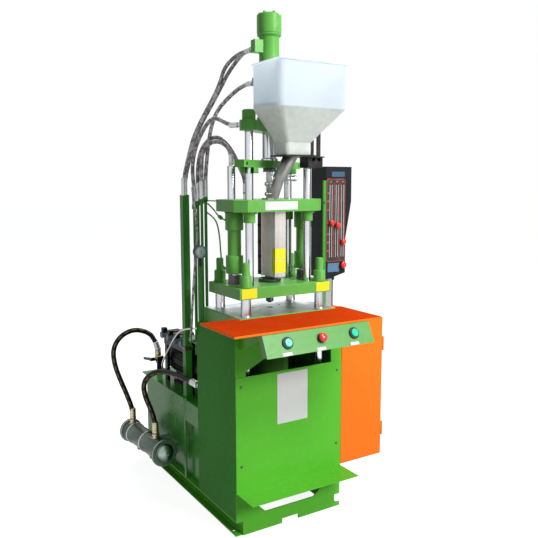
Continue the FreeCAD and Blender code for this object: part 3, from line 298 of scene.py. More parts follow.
def enamel_group():
    """Sprayed enamel: soft tone changes, orange peel, rubbed patches and fine dust."""
    tree, inside, out = group("enamel", [
        ("Colour", "NodeSocketColor", (0.2, 0.5, 0.1, 1)),
        ("Shift", "NodeSocketColor", (0.2, 0.4, 0.1, 1)),
        ("Gloss", "NodeSocketFloat", 0.3),
        ("Peel", "NodeSocketFloat", 350.0),
        ("Dust", "NodeSocketFloat", 0.15),
    ], [("Colour", "NodeSocketColor"), ("Roughness", "NodeSocketFloat"),
        ("Height", "NodeSocketFloat")])
    at = object_place(tree)
    broad, fine = noise(tree, at, 2.2, 3.0), noise(tree, at, 38.0, 6.0)
    peel, speck = noise(tree, at, inside.outputs["Peel"], 2.0), noise(tree, at, 900.0, 1.0)
    tone = mixed(tree, ramp(tree, broad, [(0.38, grey(0)), (0.62, grey(1))]),
                 inside.outputs["Colour"], inside.outputs["Shift"])
    rubbed = ramp(tree, fine, [(0.5, grey(0)), (0.68, grey(1))])
    dusty = maths(tree, "MULTIPLY", maths(tree, "MULTIPLY", rubbed, inside.outputs["Dust"]),
                  ramp(tree, speck, [(0.45, grey(0.3)), (0.6, grey(1))]))
    colour = mixed(tree, dusty, tone, (0.5, 0.5, 0.46))
    rough = maths(tree, "ADD", inside.outputs["Gloss"], maths(tree, "MULTIPLY", rubbed, 0.12))
    tree.links.new(colour, out.inputs["Colour"])
    tree.links.new(rough, out.inputs["Roughness"])
    tree.links.new(peel, out.inputs["Height"])
    return tree


def metal_group():
    """Machined metal: fine lines drawn along one direction over cloudy tone changes."""
    tree, inside, out = group("machined", [
        ("Colour", "NodeSocketColor", (0.6, 0.6, 0.6, 1)),
        ("Stretch", "NodeSocketVector", (1.0, 1.0, 1.0)),
        ("Lines", "NodeSocketFloat", 300.0),
        ("Gloss", "NodeSocketFloat", 0.25),
        ("Stain", "NodeSocketFloat", 0.2),
    ], [("Colour", "NodeSocketColor"), ("Roughness", "NodeSocketFloat"),
        ("Height", "NodeSocketFloat")])
    at = object_place(tree)
    scaled = node(tree, "VectorMath", [(0, at), (1, inside.outputs["Stretch"])],
                  operation="MULTIPLY").outputs[0]
    lines = noise(tree, scaled, inside.outputs["Lines"], 4.0)
    cloud = noise(tree, at, 14.0, 5.0)
    mask = maths(tree, "MULTIPLY", ramp(tree, cloud, [(0.42, grey(0)), (0.7, grey(1))]),
                 inside.outputs["Stain"])
    colour = mixed(tree, mask, inside.outputs["Colour"], (0.16, 0.13, 0.1))
    shade = ramp(tree, lines, [(0.3, grey(0.78)), (0.7, grey(1))])
    colour = mixed(tree, 1.0, colour, shade, "MULTIPLY")
    rough = maths(tree, "ADD", inside.outputs["Gloss"], maths(tree, "MULTIPLY", lines, 0.14))
    tree.links.new(colour, out.inputs["Colour"])
    tree.links.new(rough, out.inputs["Roughness"])
    tree.links.new(lines, out.inputs["Height"])
    return tree


GROUPS = {}


def shared(name, maker):
    """The node group of that name, made once."""
    if name not in GROUPS:
        GROUPS[name] = maker()
    return GROUPS[name]


def material(name, metallic=0.0, coat=0.0):
    """A new node material: itself, its tree and its Principled shader."""
    made = bpy.data.materials.new(name)
    made.use_nodes = True
    shader = made.node_tree.nodes["Principled BSDF"]
    shader.inputs["Metallic"].default_value = metallic
    shader.inputs["Coat Weight"].default_value = coat
    return made, made.node_tree, shader


def add_effect(tree, shader, name, maker, depth, distance, **values):
    """Lead a shared effect's colour, roughness and height into the shader."""
    effect = tree.nodes.new("ShaderNodeGroup")
    effect.node_tree = shared(name, maker)
    for label, value in values.items():
        effect.inputs[label].default_value = value
    tree.links.new(effect.outputs["Colour"], shader.inputs["Base Color"])
    tree.links.new(effect.outputs["Roughness"], shader.inputs["Roughness"])
    bumped(tree, shader, effect.outputs["Height"], depth, distance)


def enamel(name, colour, shift, gloss, peel, dust, depth, coat, specular=0.3):
    """Sprayed enamel, or a moulded plastic with the same small unevenness."""
    made, tree, shader = material(name, coat=coat)
    shader.inputs["Coat Roughness"].default_value = 0.12
    shader.inputs["Specular IOR Level"].default_value = specular
    add_effect(tree, shader, "enamel", enamel_group, depth, 0.0006, Colour=(*colour, 1),
               Shift=(*shift, 1), Gloss=gloss, Peel=peel, Dust=dust)
    return made


def machined(name, colour, stretch, lines, gloss, stain, depth=0.12):
    """Bare metal with tool lines; stretch draws them out along one direction."""
    made, tree, shader = material(name, metallic=1.0)
    add_effect(tree, shader, "machined", metal_group, depth, 0.0003, Colour=(*colour, 1),
               Stretch=stretch, Lines=lines, Gloss=gloss, Stain=stain)
    return made


def chromed(name, colour, gloss, stretch, lines):
    """Bright round metal: a machined finish with a painted reflection, its colour darkened towards
    the edges that turn away from the view.
    """
    made = machined(name, colour, stretch, lines, gloss, 0.06, 0.04)
    tree = made.node_tree
    shader = tree.nodes["Principled BSDF"]
    base = shader.inputs["Base Color"].links[0].from_socket
    # Painted reflection: the base colour falls to dark as the surface turns away from the view,
    # standing in for mirrored dark surroundings.
    facing = node(tree, "LayerWeight", Blend=0.5).outputs["Facing"]
    edge = ramp(tree, facing, [(0.0, grey(1)), (0.12, grey(0.9)), (0.34, grey(0.38)),
                               (0.6, grey(0.14)), (1.0, grey(0.3))])
    tree.links.new(mixed(tree, 1.0, base, edge, "MULTIPLY"), shader.inputs["Base Color"])
    return made


def milky(name, clear, filled):
    """Milky plastic that lets light through, greyer where the granules stand behind it."""
    made = enamel(name, clear, clear, 0.4, 60.0, 0.0, 0.04, 0.0)
    tree = made.node_tree
    shader = tree.nodes["Principled BSDF"]
    base = shader.inputs["Base Color"].links[0].from_socket
    at = object_place(tree)
    parts = node(tree, "SeparateXYZ", [(0, at)])
    grain = noise(tree, at, 45.0, 4.0)
    level = maths(tree, "SUBTRACT", parts.outputs["Z"],
                  maths(tree, "MULTIPLY", parts.outputs["Y"], HEAP_RISE))
    level = maths(tree, "ADD", level, maths(tree, "MULTIPLY", grain, 0.012))
    above = node(tree, "MapRange", [("Value", level)])
    above.inputs["From Min"].default_value = FILL_LEVEL - 0.002
    above.inputs["From Max"].default_value = FILL_LEVEL + 0.004
    granular = mixed(tree, ramp(tree, grain, [(0.35, grey(0)), (0.7, grey(1))]), filled,
                     tuple(c * 0.93 for c in filled))
    base = mixed(tree, above.outputs[0], granular, base)
    tree.links.new(base, shader.inputs["Base Color"])
    through = node(tree, "BsdfTranslucent", [("Color", base)])
    both = node(tree, "MixShader", [(1, shader.outputs[0]), (2, through.outputs[0])],
                Fac=LIGHT_THROUGH)
    tree.links.new(both.outputs[0], tree.nodes["Material Output"].inputs["Surface"])
    return made


MADE = {}


def finish(name):
    """The finish of that name from FINISHES, made once, in the panel's colour if it has one."""
    if name not in MADE:
        maker, *values = FINISHES[name]
        chosen = getattr(bpy.context.scene.machine_colours, name, None)
        if chosen is not None:
            main, second = values[:2]
            values[:2] = chosen, np.clip(np.array(chosen) - main + second, 0, 1)
        MADE[name] = maker(name, *values)
    return MADE[name]


# Share of the hopper's plastic that lets light through.
LIGHT_THROUGH = 0.72
# Granules in the hopper: height at the hopper's front wall and rise towards its rear wall.
HEAP_FRONT, HEAP_HEIGHT, HEAP_RISE = -297, 1643, 0.11
FILL_LEVEL = HEAP_HEIGHT / 1000 - HEAP_RISE * (HEAP_FRONT / 1000 + BACK)

# Finishes: maker and its values. SHEET and PRINTED hold gloss, peel, dust, depth and coat.
SHEET, PRINTED = (0.2, 260, 0.05, 0.06, 0), (0.4, 400, 0.05, 0.03, 0)
FINISHES = {
    "sheet_green": (enamel, (0.105, 0.48, 0.032), (0.095, 0.45, 0.028), *SHEET, 0.08),
    "side_green": (enamel, (0.06, 0.33, 0.04), (0.05, 0.29, 0.035), *SHEET, 0.15),
    # Painted shade: a darker copy of the sheet green for the base cabinet's left side face.
    "panel_side": (enamel, (0.04, 0.31, 0.018), (0.036, 0.28, 0.016), *SHEET, 0.02),
    "casting_green": (enamel, (0.12, 0.4, 0.065), (0.1, 0.35, 0.055), 0.3, 140, 0.08, 0.12, 0,
                      0.2),
    "cooler_green": (chromed, (0.36, 0.46, 0.4), 0.3, (1, 1, 1), 90),
    "console_green": (enamel, (0.125, 0.36, 0.09), (0.11, 0.33, 0.08), 0.3, 260, 0.05, 0.06, 0,
                      0.2),
    "orange": (enamel, (0.95, 0.185, 0.012), (0.92, 0.17, 0.01), 0.4, 220, 0.02, 0.06, 0, 0.1),
    "table_orange": (enamel, (0.6, 0.05, 0.003), (0.54, 0.043, 0.003), 0.12, 220, 0.03, 0.05, 0,
                     0),
    "black_enamel": (enamel, (0.012, 0.012, 0.013), grey(0.02), 0.34, 200, 0.08, 0.15, 0.03, 0.1),
    "box_black": (enamel, (0.007, 0.008, 0.011), (0.01, 0.011, 0.014), 0.45, 300, 0.02, 0.06, 0,
                  0.12),
    "black_plastic": (enamel, grey(0.012), grey(0.016), 0.45, 500, 0.1, 0.1, 0, 0.25),
    "scale_face": (enamel, (0.045, 0.038, 0.04), (0.035, 0.03, 0.032), 0.45, 400, 0.1, 0.04, 0,
                   0.15),
    "scale_border": (enamel, (0.3, 0.06, 0.035), (0.24, 0.05, 0.03), 0.45, 400, 0.1, 0.04, 0,
                     0.15),
    "slot_grey": (enamel, (0.38, 0.36, 0.37), (0.33, 0.31, 0.32), 0.4, 400, 0.05, 0.04, 0),
    "label_blue": (enamel, (0.1, 0.2, 0.34), (0.08, 0.17, 0.3), *PRINTED),
    "label_dark": (enamel, (0.045, 0.1, 0.16), (0.035, 0.085, 0.14), *PRINTED),
    "tick_red": (enamel, (0.55, 0.1, 0.07), (0.5, 0.09, 0.07), *PRINTED),
    "red_plastic": (enamel, (0.75, 0.012, 0.01), (0.7, 0.01, 0.01), 0.18, 300, 0.02, 0.03, 0.5),
    "cyan_plastic": (enamel, (0, 0.62, 0.36), (0, 0.55, 0.33), 0.2, 300, 0.02, 0.03, 0.5),
    "yellow_patch": (enamel, (0.8, 0.72, 0.025), (0.76, 0.68, 0.025), 0.4, 300, 0.03, 0.03, 0,
                     0.2),
    "white_plate": (enamel, (0.66, 0.68, 0.66), (0.6, 0.62, 0.6), 0.4, 300, 0.08, 0.03, 0.1),
    "dial_face": (chromed, (0.66, 0.77, 0.83), 0.3, (1, 1, 1), 300),
    "block_grey": (enamel, (0.37, 0.41, 0.43), (0.33, 0.37, 0.39), 0.4, 300, 0.1, 0.05, 0),
    "blue_grey": (enamel, (0.17, 0.24, 0.29), (0.13, 0.19, 0.24), 0.4, 300, 0.1, 0.05, 0),
    "milky_plastic": (milky, (0.78, 0.82, 0.85), (0.88, 0.9, 0.88)),
    "granules": (enamel, (0.86, 0.88, 0.88), (0.7, 0.73, 0.74), 0.5, 300, 0.1, 0.6, 0),
    "rubber": (enamel, grey(0.015), grey(0.022), 0.5, 500, 0.1, 0.1, 0),
    "ground_steel": (machined, (0.72, 0.78, 0.8), (1, 0.05, 1), 300, 0.34, 0.45),
    "steel": (machined, (0.55, 0.56, 0.57), (1, 1, 1), 200, 0.28, 0.3),
    "dark_steel": (machined, (0.1, 0.1, 0.11), (1, 1, 1), 200, 0.35, 0.3),
    "brass": (machined, (0.6, 0.52, 0.34), (1, 1, 1), 200, 0.25, 0.25),
    "chrome": (chromed, (0.82, 0.85, 0.88), 0.12, (1, 1, 0.01), 260),
    "cover_steel": (machined, (0.6, 0.57, 0.54), (1, 1, 0.02), 300, 0.3, 0.35),
    "chute_steel": (machined, (0.24, 0.25, 0.24), (1, 1, 0.3), 60, 0.35, 0.5, 0.3),
}

FINISH_OF = {
    "sheet_green": ("base_cabinet", "front_panel", "skid_frame"),
    "casting_green": ("moving_platen", "injection_plate", "top_plate", "crosshead",
                      "platen_nuts", "carriage_cylinders", "injection_cylinder",
                      "clamp_cylinder", "clamp_crosshead", "guide_bushes", "lower_platen"),
    "side_green": ("oil_tank", "riser_pipes", "control_post"),
    "cooler_green": ("oil_cooler",),
    "console_green": ("console",),
    "orange": ("electric_cabinet", "cabinet_door", "table"),
    "steel": ("barrel", "nozzle", "plunger", "gate_knob", "control_gear", "gauge_needle",
              "motor_shaft"),
    "dark_steel": ("base_fasteners",),
    "cover_steel": ("barrel_cover",),
    "chute_steel": ("chute",),
    "chrome": ("clamp_rod", "tie_bars", "guide_columns", "injection_rod", "carriage_rods"),
    "black_enamel": ("motor", "pump", "valve_stack", "hopper_bracket", "heaters",
                     "tank_breather", "tap_handle"),
    "box_black": ("control_box",),
    "black_plastic": ("button_bezels", "pressure_gauge"),
    "scale_face": ("scale_plate",),
    "red_plastic": ("button_stop", "reset_button", "slider_knob_1", "slider_knob_2",
                    "slider_knob_3"),
    "cyan_plastic": ("button_left", "button_right"),
    "milky_plastic": ("hopper",),
    "white_plate": ("instruction_plate",),
    "rubber": ("cooler_hoses", "cable_conduit", "hose_loom"),
}

DOWN, FORWARD, RIGHTWARD = (0, 0, -1), (0, -1, 0), (1, 0, 0)
COOLER_LINE = (-0.08716, 0.99619, 0)
PLATEN_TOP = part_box("lower_platen")[1][2] * 1000
# Faces with another finish than their node: node, finish, start, direction, length, inner and
# outer radius, in millimetres of the drawing frame.
SPOTS = (
    ("table", "table_orange", (0, 0, 860.5), DOWN, 1.2, 0, 2000),
    ("lower_platen", "ground_steel", (0, 0, PLATEN_TOP + 0.5), DOWN, 1.2, 0, 2000),
    ("injection_cylinder", "steel", (-42, 41.5, 1897), FORWARD, 24, 0, 11),
    ("injection_cylinder", "steel", (-62, 41.5, 1888), FORWARD, 24, 0, 11),
    ("injection_cylinder", "steel", (-57, 41.5, 1762), FORWARD, 26, 0, 11),
    ("top_plate", "steel", (-150.2, -8.4, 1592), (0.464, -0.885, 0), 32, 0, 12),
    ("guide_columns", "steel", (-135.3, 71.4, 1449), DOWN, 11, 0, 11),
    ("injection_plate", "steel", (-97, 26, 1333), DOWN, 26, 0, 11),
    ("base_cabinet", "steel", (-240, 206, 517), FORWARD, 31, 0, 14),
    ("valve_stack", "brass", (-192, 754, 547), DOWN, 47, 0, 18),
    ("moving_platen", "dark_steel", (0, 0, 986), DOWN, 13.8, 0, 47),
    ("nozzle", "dark_steel", (0, 0, 960), DOWN, 60, 0, 30),
    ("plunger", "dark_steel", (0, 0, 1430), DOWN, 17, 0, 27),
    ("carriage_rods", "dark_steel", (0, 0, 1008.5), DOWN, 37, 0, 300),
    ("control_post", "block_grey", (308, 24, 955.5), DOWN, 151, 0, 24),
    ("riser_pipes", "dark_steel", (-228, 322, 661), DOWN, 18, 0, 28),
    ("oil_cooler", "brass", (-312.7, 505.7, 221), DOWN, 27, 0, 18),
    ("oil_cooler", "brass", (-333.9, 748.7, 221), DOWN, 27, 0, 18),
    ("oil_cooler", "steel", (-319.4, 582.4, 150), COOLER_LINE, 8, 48.5, 52),
    ("oil_cooler", "steel", (-331.1, 716.9, 150), COOLER_LINE, 8, 48.5, 52),
    # Painted shade: the base cabinet's left side face takes the darker copy of its sheet green.
    ("base_cabinet", "panel_side", (-251.6, 0, 0), RIGHTWARD, 1.2, 0, 3000),
) + tuple(("valve_stack", "blue_grey", (-237, y, 656), RIGHTWARD, 34, 0, 16)
          for y in (384, 456, 528, 600))

# Edges stay sharp on these nodes: a bevel draws dark lines across their large flat face.
PLAIN_SHEETS = ("front_panel",)


def spot_faces(mesh, start, along, length, inner, outer):
    """Which faces have their middle in a ring about a line; measured in millimetres."""
    middles = np.empty(len(mesh.polygons) * 3)
    mesh.polygons.foreach_get("center", middles)
    middles = middles.reshape(-1, 3) * 1000 - np.array(start) - (0, BACK * 1000, 0)
    far = middles @ np.array(along)
    out = np.linalg.norm(middles - far[:, None] * np.array(along), axis=1)
    return (far > -0.6) & (far < length) & (out >= inner) & (out < outer)


class MACHINE_OT_finishes(bpy.types.Operator):
    """Give every part of the frame its finish and softened edges"""

    bl_idname = "machine.finishes"
    bl_label = "Finishes"

    def execute(self, context):
        for name, parts in FINISH_OF.items():
            for part in parts:
                body = NODES[part]
                body.data.materials.clear()
                body.data.materials.append(finish(name))
        for part, name, *where in SPOTS:
            mesh = NODES[part].data
            index = np.zeros(len(mesh.polygons), np.int32)
            mesh.polygons.foreach_get("material_index", index)
            chosen = spot_faces(mesh, *where)
            if not chosen.any():
                raise RuntimeError("no face in a spot of " + part)
            index[chosen] = len(mesh.materials)
            mesh.materials.append(finish(name))
            mesh.polygons.foreach_set("material_index", index)
        sizes = context.scene.machine_sizes
        for part, body in NODES.items():
            if body.hide_render or part in PLAIN_SHEETS:
                continue
            weld = body.modifiers.new("weld", "WELD")
            weld.merge_threshold = 0.00002
            edge = body.modifiers.new("edges", "BEVEL")
            edge.width = sizes.edge_softening
            edge.segments = 2
            edge.limit_method = "ANGLE"
            edge.angle_limit = math.radians(35)
            edge.use_clamp_overlap = True
        return {"FINISHED"}


# ------------------------------------------------------------------ stage

SKY_COLOUR, SKY_STRENGTH = (0.93, 0.97, 1.0, 1), 0.24
FLOOR_TONE, FLOOR_LIFT = 0.42, 0.9


def seen_white(tree):
    """1 for rays from the camera, through clear pieces and off shiny ones, else 0."""
    rays = tree.nodes.new("ShaderNodeLightPath").outputs
    either = maths(tree, "MAXIMUM", rays["Is Camera Ray"], rays["Is Transmission Ray"])
    return maths(tree, "MAXIMUM", either, rays["Is Glossy Ray"])


def studio_world():
    """Pale surroundings that the camera, metal and glass see as plain white."""
    world = bpy.data.worlds.new("studio")
    world.use_nodes = True
    tree = world.node_tree
    plain = tree.nodes["Background"]
    plain.inputs["Color"].default_value = SKY_COLOUR
    plain.inputs["Strength"].default_value = SKY_STRENGTH
    white = node(tree, "Background", Strength=1.0)
    white.inputs["Color"].default_value = (1, 1, 1, 1)
    mix = node(tree, "MixShader", [(0, seen_white(tree)), (1, plain.outputs[0]),
                                   (2, white.outputs[0])])
    tree.links.new(mix.outputs[0], tree.nodes["World Output"].inputs["Surface"])
    return world


def floor_finish():
    """Pale matt floor; the camera sees it lifted to white outside the object's shadow."""
    made, tree, shader = material("studio_floor")
    shader.inputs["Base Color"].default_value = (*grey(FLOOR_TONE), 1)
    shader.inputs["Roughness"].default_value = 1.0
    shader.inputs["Specular IOR Level"].default_value = 0.0
    shader.inputs["Emission Color"].default_value = (1, 1, 1, 1)
    lift = maths(tree, "MULTIPLY", seen_white(tree), FLOOR_LIFT)
    tree.links.new(lift, shader.inputs["Emission Strength"])
    return made


# Round soft lamps: name, place, aim, diameter, watts.
LAMPS = (
    ("key", (1.9, -4.9, 3.2), (0, -0.3, 1.0), 1.8, 205),
    ("rear", (3.3, 2.7, 4.7), (0, 0.1, 0.9), 2.0, 130),
    ("high", (0.9, -3.0, 4.2), (0, -0.3, 0.8), 1.6, 130),
)

# Camera solved from the photograph: place, focal length over picture width, yaw, pitch and roll.
CAMERA_AT = (-1.405, -2.271 + BACK, 1.366)
CAMERA_FOCUS = 657.26 / 538
CAMERA_TURN = (31.69, 7.37, 0.13)
SENSOR = 36


class MACHINE_OT_stage(bpy.types.Operator):
    """Pale floor, soft studio lights and the camera"""

    bl_idname = "machine.stage"
    bl_label = "Stage"

    def execute(self, context):
        scene = context.scene
        scene.view_settings.view_transform = "Standard"
        floor = place("studio_floor", *slab((-14, -8, -0.02), (14, 30, -0.001)), None,
                      floor_finish(), smooth=False)
        scene.world = studio_world()
        for name, at, aim, size, power in LAMPS:
            light = bpy.data.lights.new(name, "AREA")
            light.shape = "DISK"
            light.size = size
            light.energy = power
            lamp = bpy.data.objects.new(name, light)
            lamp.location = at
            lamp.rotation_euler = (Vector(aim) - Vector(at)).to_track_quat("-Z", "Y").to_euler()
            scene.collection.objects.link(lamp)
        lens = bpy.data.cameras.new("camera")
        lens.sensor_width = SENSOR
        lens.lens = CAMERA_FOCUS * SENSOR
        lens.clip_end = 60
        camera = bpy.data.objects.new("camera", lens)
        yaw, pitch, roll = (math.radians(a) for a in CAMERA_TURN)
        ahead = Vector((math.sin(yaw) * math.cos(pitch), math.cos(yaw) * math.cos(pitch),
                        -math.sin(pitch)))
        right = Vector((math.cos(yaw), -math.sin(yaw), 0))
        down = ahead.cross(right)
        across = right * math.cos(roll) + down * math.sin(roll)
        up = right * math.sin(roll) - down * math.cos(roll)
        turn = Matrix((across, up, -ahead)).transposed()
        camera.matrix_world = Matrix.Translation(CAMERA_AT) @ turn.to_4x4()
        scene.collection.objects.link(camera)
        scene.camera = camera
        return {"FINISHED"}


# ------------------------------------------------------------------ hoses

# Route points of the hoses, as in the CAD, in millimetres of the drawing frame.
COOLER_HOSES = {
    "cooler_hose_rear": [
        (-333.9, 748.7, 220.3), (-333.9, 748.7, 262), (-362, 748, 345), (-393, 748, 425),
        (-419, 748, 505), (-424, 749, 584), (-382, 751, 642), (-313.5, 753, 664),
        (-245, 754, 642), (-210, 754, 606), (-191.2, 754, 546.6)],
    "cooler_hose_front": [
        (-312.7, 505.7, 220.3), (-313.5, 506, 266), (-331, 512, 335), (-352, 526, 395),
        (-358, 530, 450), (-344, 511, 492), (-320, 478, 517), (-292, 433, 526),
        (-270, 372, 527), (-257, 312, 523), (-243, 258, 518), (-240, 205.5, 517)],
}

LOOM = {
    "loom_port_high": [
        (-235, 315, 1321), (-235, 315, 1385), (-208, 318, 1480), (-190, 310, 1555),
        (-165, 280, 1631), (-131, 245, 1710), (-108, 215, 1776), (-96, 195, 1842),
        (-66, 150, 1885), (-42, 100, 1897), (-42, 41.3, 1897)],
    "loom_port_beside": [
        (-221, 329, 1321), (-221, 329, 1385), (-194, 331, 1478), (-176, 324, 1552),
        (-151, 294, 1628), (-118, 258, 1706), (-97, 222, 1768), (-84, 180, 1822),
        (-68, 132, 1866), (-62, 88, 1888), (-62, 41.3, 1888)],
    "loom_port_low": [
        (-190, 196, 1315), (-190, 196, 1375), (-187, 188, 1455), (-178, 184, 1540),
        (-160, 188, 1612), (-134, 186, 1668), (-102, 160, 1712), (-74, 120, 1748),
        (-57, 82, 1762), (-57, 41.3, 1762)],
    "loom_top_plate": [
        (-221, 238, 1285), (-221, 238, 1345), (-224, 250, 1425), (-216, 240, 1505),
        (-204, 200, 1570), (-200, 145, 1612), (-194, 95, 1628), (-177, 43, 1604),
        (-163.1, 16, 1592), (-150.2, -8.6, 1592)],
    "loom_column": [
        (-209, 194, 1308), (-209, 194, 1370), (-207, 193, 1430), (-206, 192, 1488),
        (-192.5, 169, 1524.7), (-170.6, 131.7, 1538.8), (-148.8, 94.4, 1524.7),
        (-135.3, 71.4, 1488), (-135.3, 71.4, 1448.3)],
}

# The hose to the injection plate crosses two slides, so it is two lengths that meet at its arch.
PLATE_HOSE = [
    (-213, 221, 1300), (-213, 221, 1360), (-207, 232, 1437), (-190, 232, 1510),
    (-164, 205, 1553), (-140, 165, 1558), (-124, 120, 1526), (-113, 82, 1478),
    (-108, 50, 1430), (-97, 26, 1385), (-97, 26, 1332.3)]


def row_points(points):
    """Points of the drawing frame in millimetres, as metres in the row frame."""
    return [(x / 1000, y / 1000 + BACK, z / 1000) for x, y, z in points]


def lengthwise(tree):
    """The hose's own UV: the turn about it from 0 to 1, and metres along it."""
    uv = node(tree, "UVMap", uv_map="UVMap").outputs["UV"]
    parts = node(tree, "SeparateXYZ", [(0, uv)])
    return parts.outputs[0], parts.outputs[1]


def hose_finish(name, dash):
    """Rubber cover with a broken yellow line along it, dash times a metre."""
    made, tree, shader = material(name)
    around, along = lengthwise(tree)
    stripe_at, half_width, painted = 0.43, 0.022, 0.55
    aside = maths(tree, "ABSOLUTE", maths(tree, "SUBTRACT", around, stripe_at))
    step = maths(tree, "FRACT", maths(tree, "MULTIPLY", along, dash))
    mask = maths(tree, "MULTIPLY", maths(tree, "LESS_THAN", aside, half_width),
                 maths(tree, "LESS_THAN", step, painted))
    colour = mixed(tree, mask, (0.009, 0.009, 0.012), (0.5, 0.38, 0.03))
    tree.links.new(colour, shader.inputs["Base Color"])
    shader.inputs["Roughness"].default_value = 0.34
    shader.inputs["Specular IOR Level"].default_value = 0.2
    bumped(tree, shader, noise(tree, object_place(tree), 700.0, 3.0), 0.2, 0.0004)
    return made


def braid_finish(name, turns, pitch):
    """Braided sleeve: two crossing sets of strands over the lengthwise UV, some of them red."""
    made, tree, shader = material(name, metallic=0.1)
    around, along = lengthwise(tree)
    around, along = maths(tree, "MULTIPLY", around, turns), maths(tree, "MULTIPLY", along, pitch)
    one = maths(tree, "FRACT", maths(tree, "ADD", around, along))
    two = maths(tree, "FRACT", maths(tree, "SUBTRACT", around, along))
    over = maths(tree, "MAXIMUM", maths(tree, "PINGPONG", one, 0.5),
                 maths(tree, "PINGPONG", two, 0.5))
    blotch = noise(tree, object_place(tree), 30.0, 2.0)
    light = ramp(tree, over, [(0.24, (0.035, 0.036, 0.045)), (0.4, (0.82, 0.85, 0.88))])
    red = ramp(tree, one, [(0.0, grey(0)), (0.88, grey(0)), (0.91, grey(1))])
    dark = ramp(tree, blotch, [(0.42, grey(1)), (0.52, grey(0.16)), (0.62, grey(1))])
    colour = mixed(tree, red, light, (0.45, 0.02, 0.03))
    colour = mixed(tree, 1.0, colour, dark, "MULTIPLY")
    tree.links.new(colour, shader.inputs["Base Color"])
    shader.inputs["Roughness"].default_value = 0.4
    bumped(tree, shader, over, 0.6, 0.0008)
    return made


def ferrule(start, ahead, r, long, body, name, look="steel"):
    """Crimped sleeve over a hose end of radius r: a ribbed profile turned about its direction."""
    profile = [(-0.0035, r * 0.6), (-0.0035, r * 1.3), (0.008, r * 1.3), (0.009, r * 1.15)]
    steps = np.linspace(0.012, long, 13)
    profile += [(h, r * (1.28 if k % 3 else 1.16)) for k, h in enumerate(steps)]
    profile += [(long + 0.001, r * 1.02)]
    verts, faces = lathe(start, ahead, profile, 28)
    return place(name, verts, faces, body, finish(look))


def hose(name, line, radius, look, bodies, node_name=None,
         around=20):
    """One hose or pipe: a tube on its line, riding on one body, or left without a body where it
    spans two.
    """
    verts, faces, uv = tube(line, radius, around)
    piece = place(name, verts, faces, bodies[0] if len(bodies) == 1 else None, look, uv)
    if len(bodies) == 2:
        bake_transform(piece)
    if node_name:
        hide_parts(node_name)


class MACHINE_OT_hoses(bpy.types.Operator):
    """Cooler hoses and the hose loom with their crimped ends"""

    bl_idname = "machine.hoses"
    bl_label = "Hoses"

    def execute(self, context):
        sizes = context.scene.machine_sizes
        rubber = hose_finish("hose_cover", 26.0)
        braid = braid_finish("hose_braid", 8.0, 150.0)
        wide, slim = sizes.cooler_hose / 2, sizes.loom_hose / 2
        for name, points in COOLER_HOSES.items():
            line = smooth_line(row_points(points))
            ends = [ferrule(line[0], line[1] - line[0], wide, 0.05, "base", name + "_foot",
                            "brass"),
                    ferrule(line[-1], line[-2] - line[-1], wide, 0.045, "base", name + "_top")]
            hose(name, line, wide, rubber, ("base",), "cooler_hoses",
                 around=24)
        for name, points in LOOM.items():
            line = smooth_line(row_points(points))
            ends = [ferrule(line[0], line[1] - line[0], slim, 0.07, "base", name + "_foot"),
                    ferrule(line[-1], line[-2] - line[-1], slim, 0.035, "clamp", name + "_top")]
            hose(name, line, slim, braid, ("base", "clamp"), "hose_loom")
        line = smooth_line(row_points(PLATE_HOSE))
        top = int(line[:, 2].argmax())
        foot = ferrule(line[0], line[1] - line[0], slim, 0.07, "base", "loom_plate_foot")
        end = ferrule(line[-1], line[-2] - line[-1], slim, 0.035, "carriage", "loom_plate_top")
        hose("loom_plate_rise", line[:top + 1], slim, braid, ("base", "clamp"),
             "hose_loom")
        hose("loom_plate_fall", line[top:], slim, braid, ("clamp", "carriage"),
             "hose_loom")
        return {"FINISHED"}


# ------------------------------------------------------------------ slim pipes and conduit

# Slim pipes and cables: radius, finish, slot, bodies, route points, in millimetres.
SLIM = {
    "pipe_to_plate": (2.6, "casting_green", "green_paint", ("base", "clamp"), [
        (-187, 188, 1297), (-203, 145, 1299), (-214, 105, 1300), (-215, 75, 1300),
        (-205, 62, 1300)]),
    "pipe_to_cylinder": (3.2, "casting_green", "green_paint", ("base", "clamp"), [
        (-184, 188, 1286), (-187, 130, 1266), (-192, 90, 1245), (-200, 50, 1235),
        (-198.5, 8, 1226)]),
    "pipe_to_foot": (3.2, "casting_green", "green_paint", ("base", "clamp"), [
        (-190, 186, 1250), (-186, 150, 1238), (-178, 118, 1212), (-177, 98, 1154),
        (-179, 85, 1075), (-182, 68, 1034), (-178, 34, 1030)]),
    "gauge_hose": (5.0, "hose_braid", "hose_braid", ("base",), [
        (-233, 230, 1352), (-238, 214, 1310), (-237, 196, 1250), (-235, 187, 1180),
        (-237, 186, 1111), (-247, 184, 1050), (-259, 184, 935), (-264, 186, 840),
        (-266, 192, 765), (-262, 212, 715), (-250, 235, 698), (-234.3, 250, 698)]),
    "steel_cable": (4.0, "steel", "steel", ("base",), [
        (-206, 634, 470), (-222, 620, 480), (-240, 590, 520), (-258, 470, 610),
        (-262, 376, 694), (-262, 320, 732), (-250, 262, 752), (-219.5, 222, 757)]),
}

# Their fittings: name, both ends, radius, body, finish.
SLIM_FITTINGS = (
    ("cylinder_fitting", (-197.3, 62, 1238.5), (-199.5, 38, 1232.5), 7.5, "clamp",
     "casting_green"),
    ("foot_fitting", (-181, 58, 1031.5), (-178.5, 36, 1030), 6, "clamp", "casting_green"),
    ("gauge_clip", (-236.2, 192, 1152), (-236.2, 192, 1144), 6.5, "base", "black_plastic"),
    ("cable_nut", (-207, 633, 470), (-216, 625.5, 475), 6.5, "base", "steel"),
)


# Route points of the conduit, straight down from the control box.
CONDUIT = [(345, 40, z) for z in (962, 905, 850, 792)]


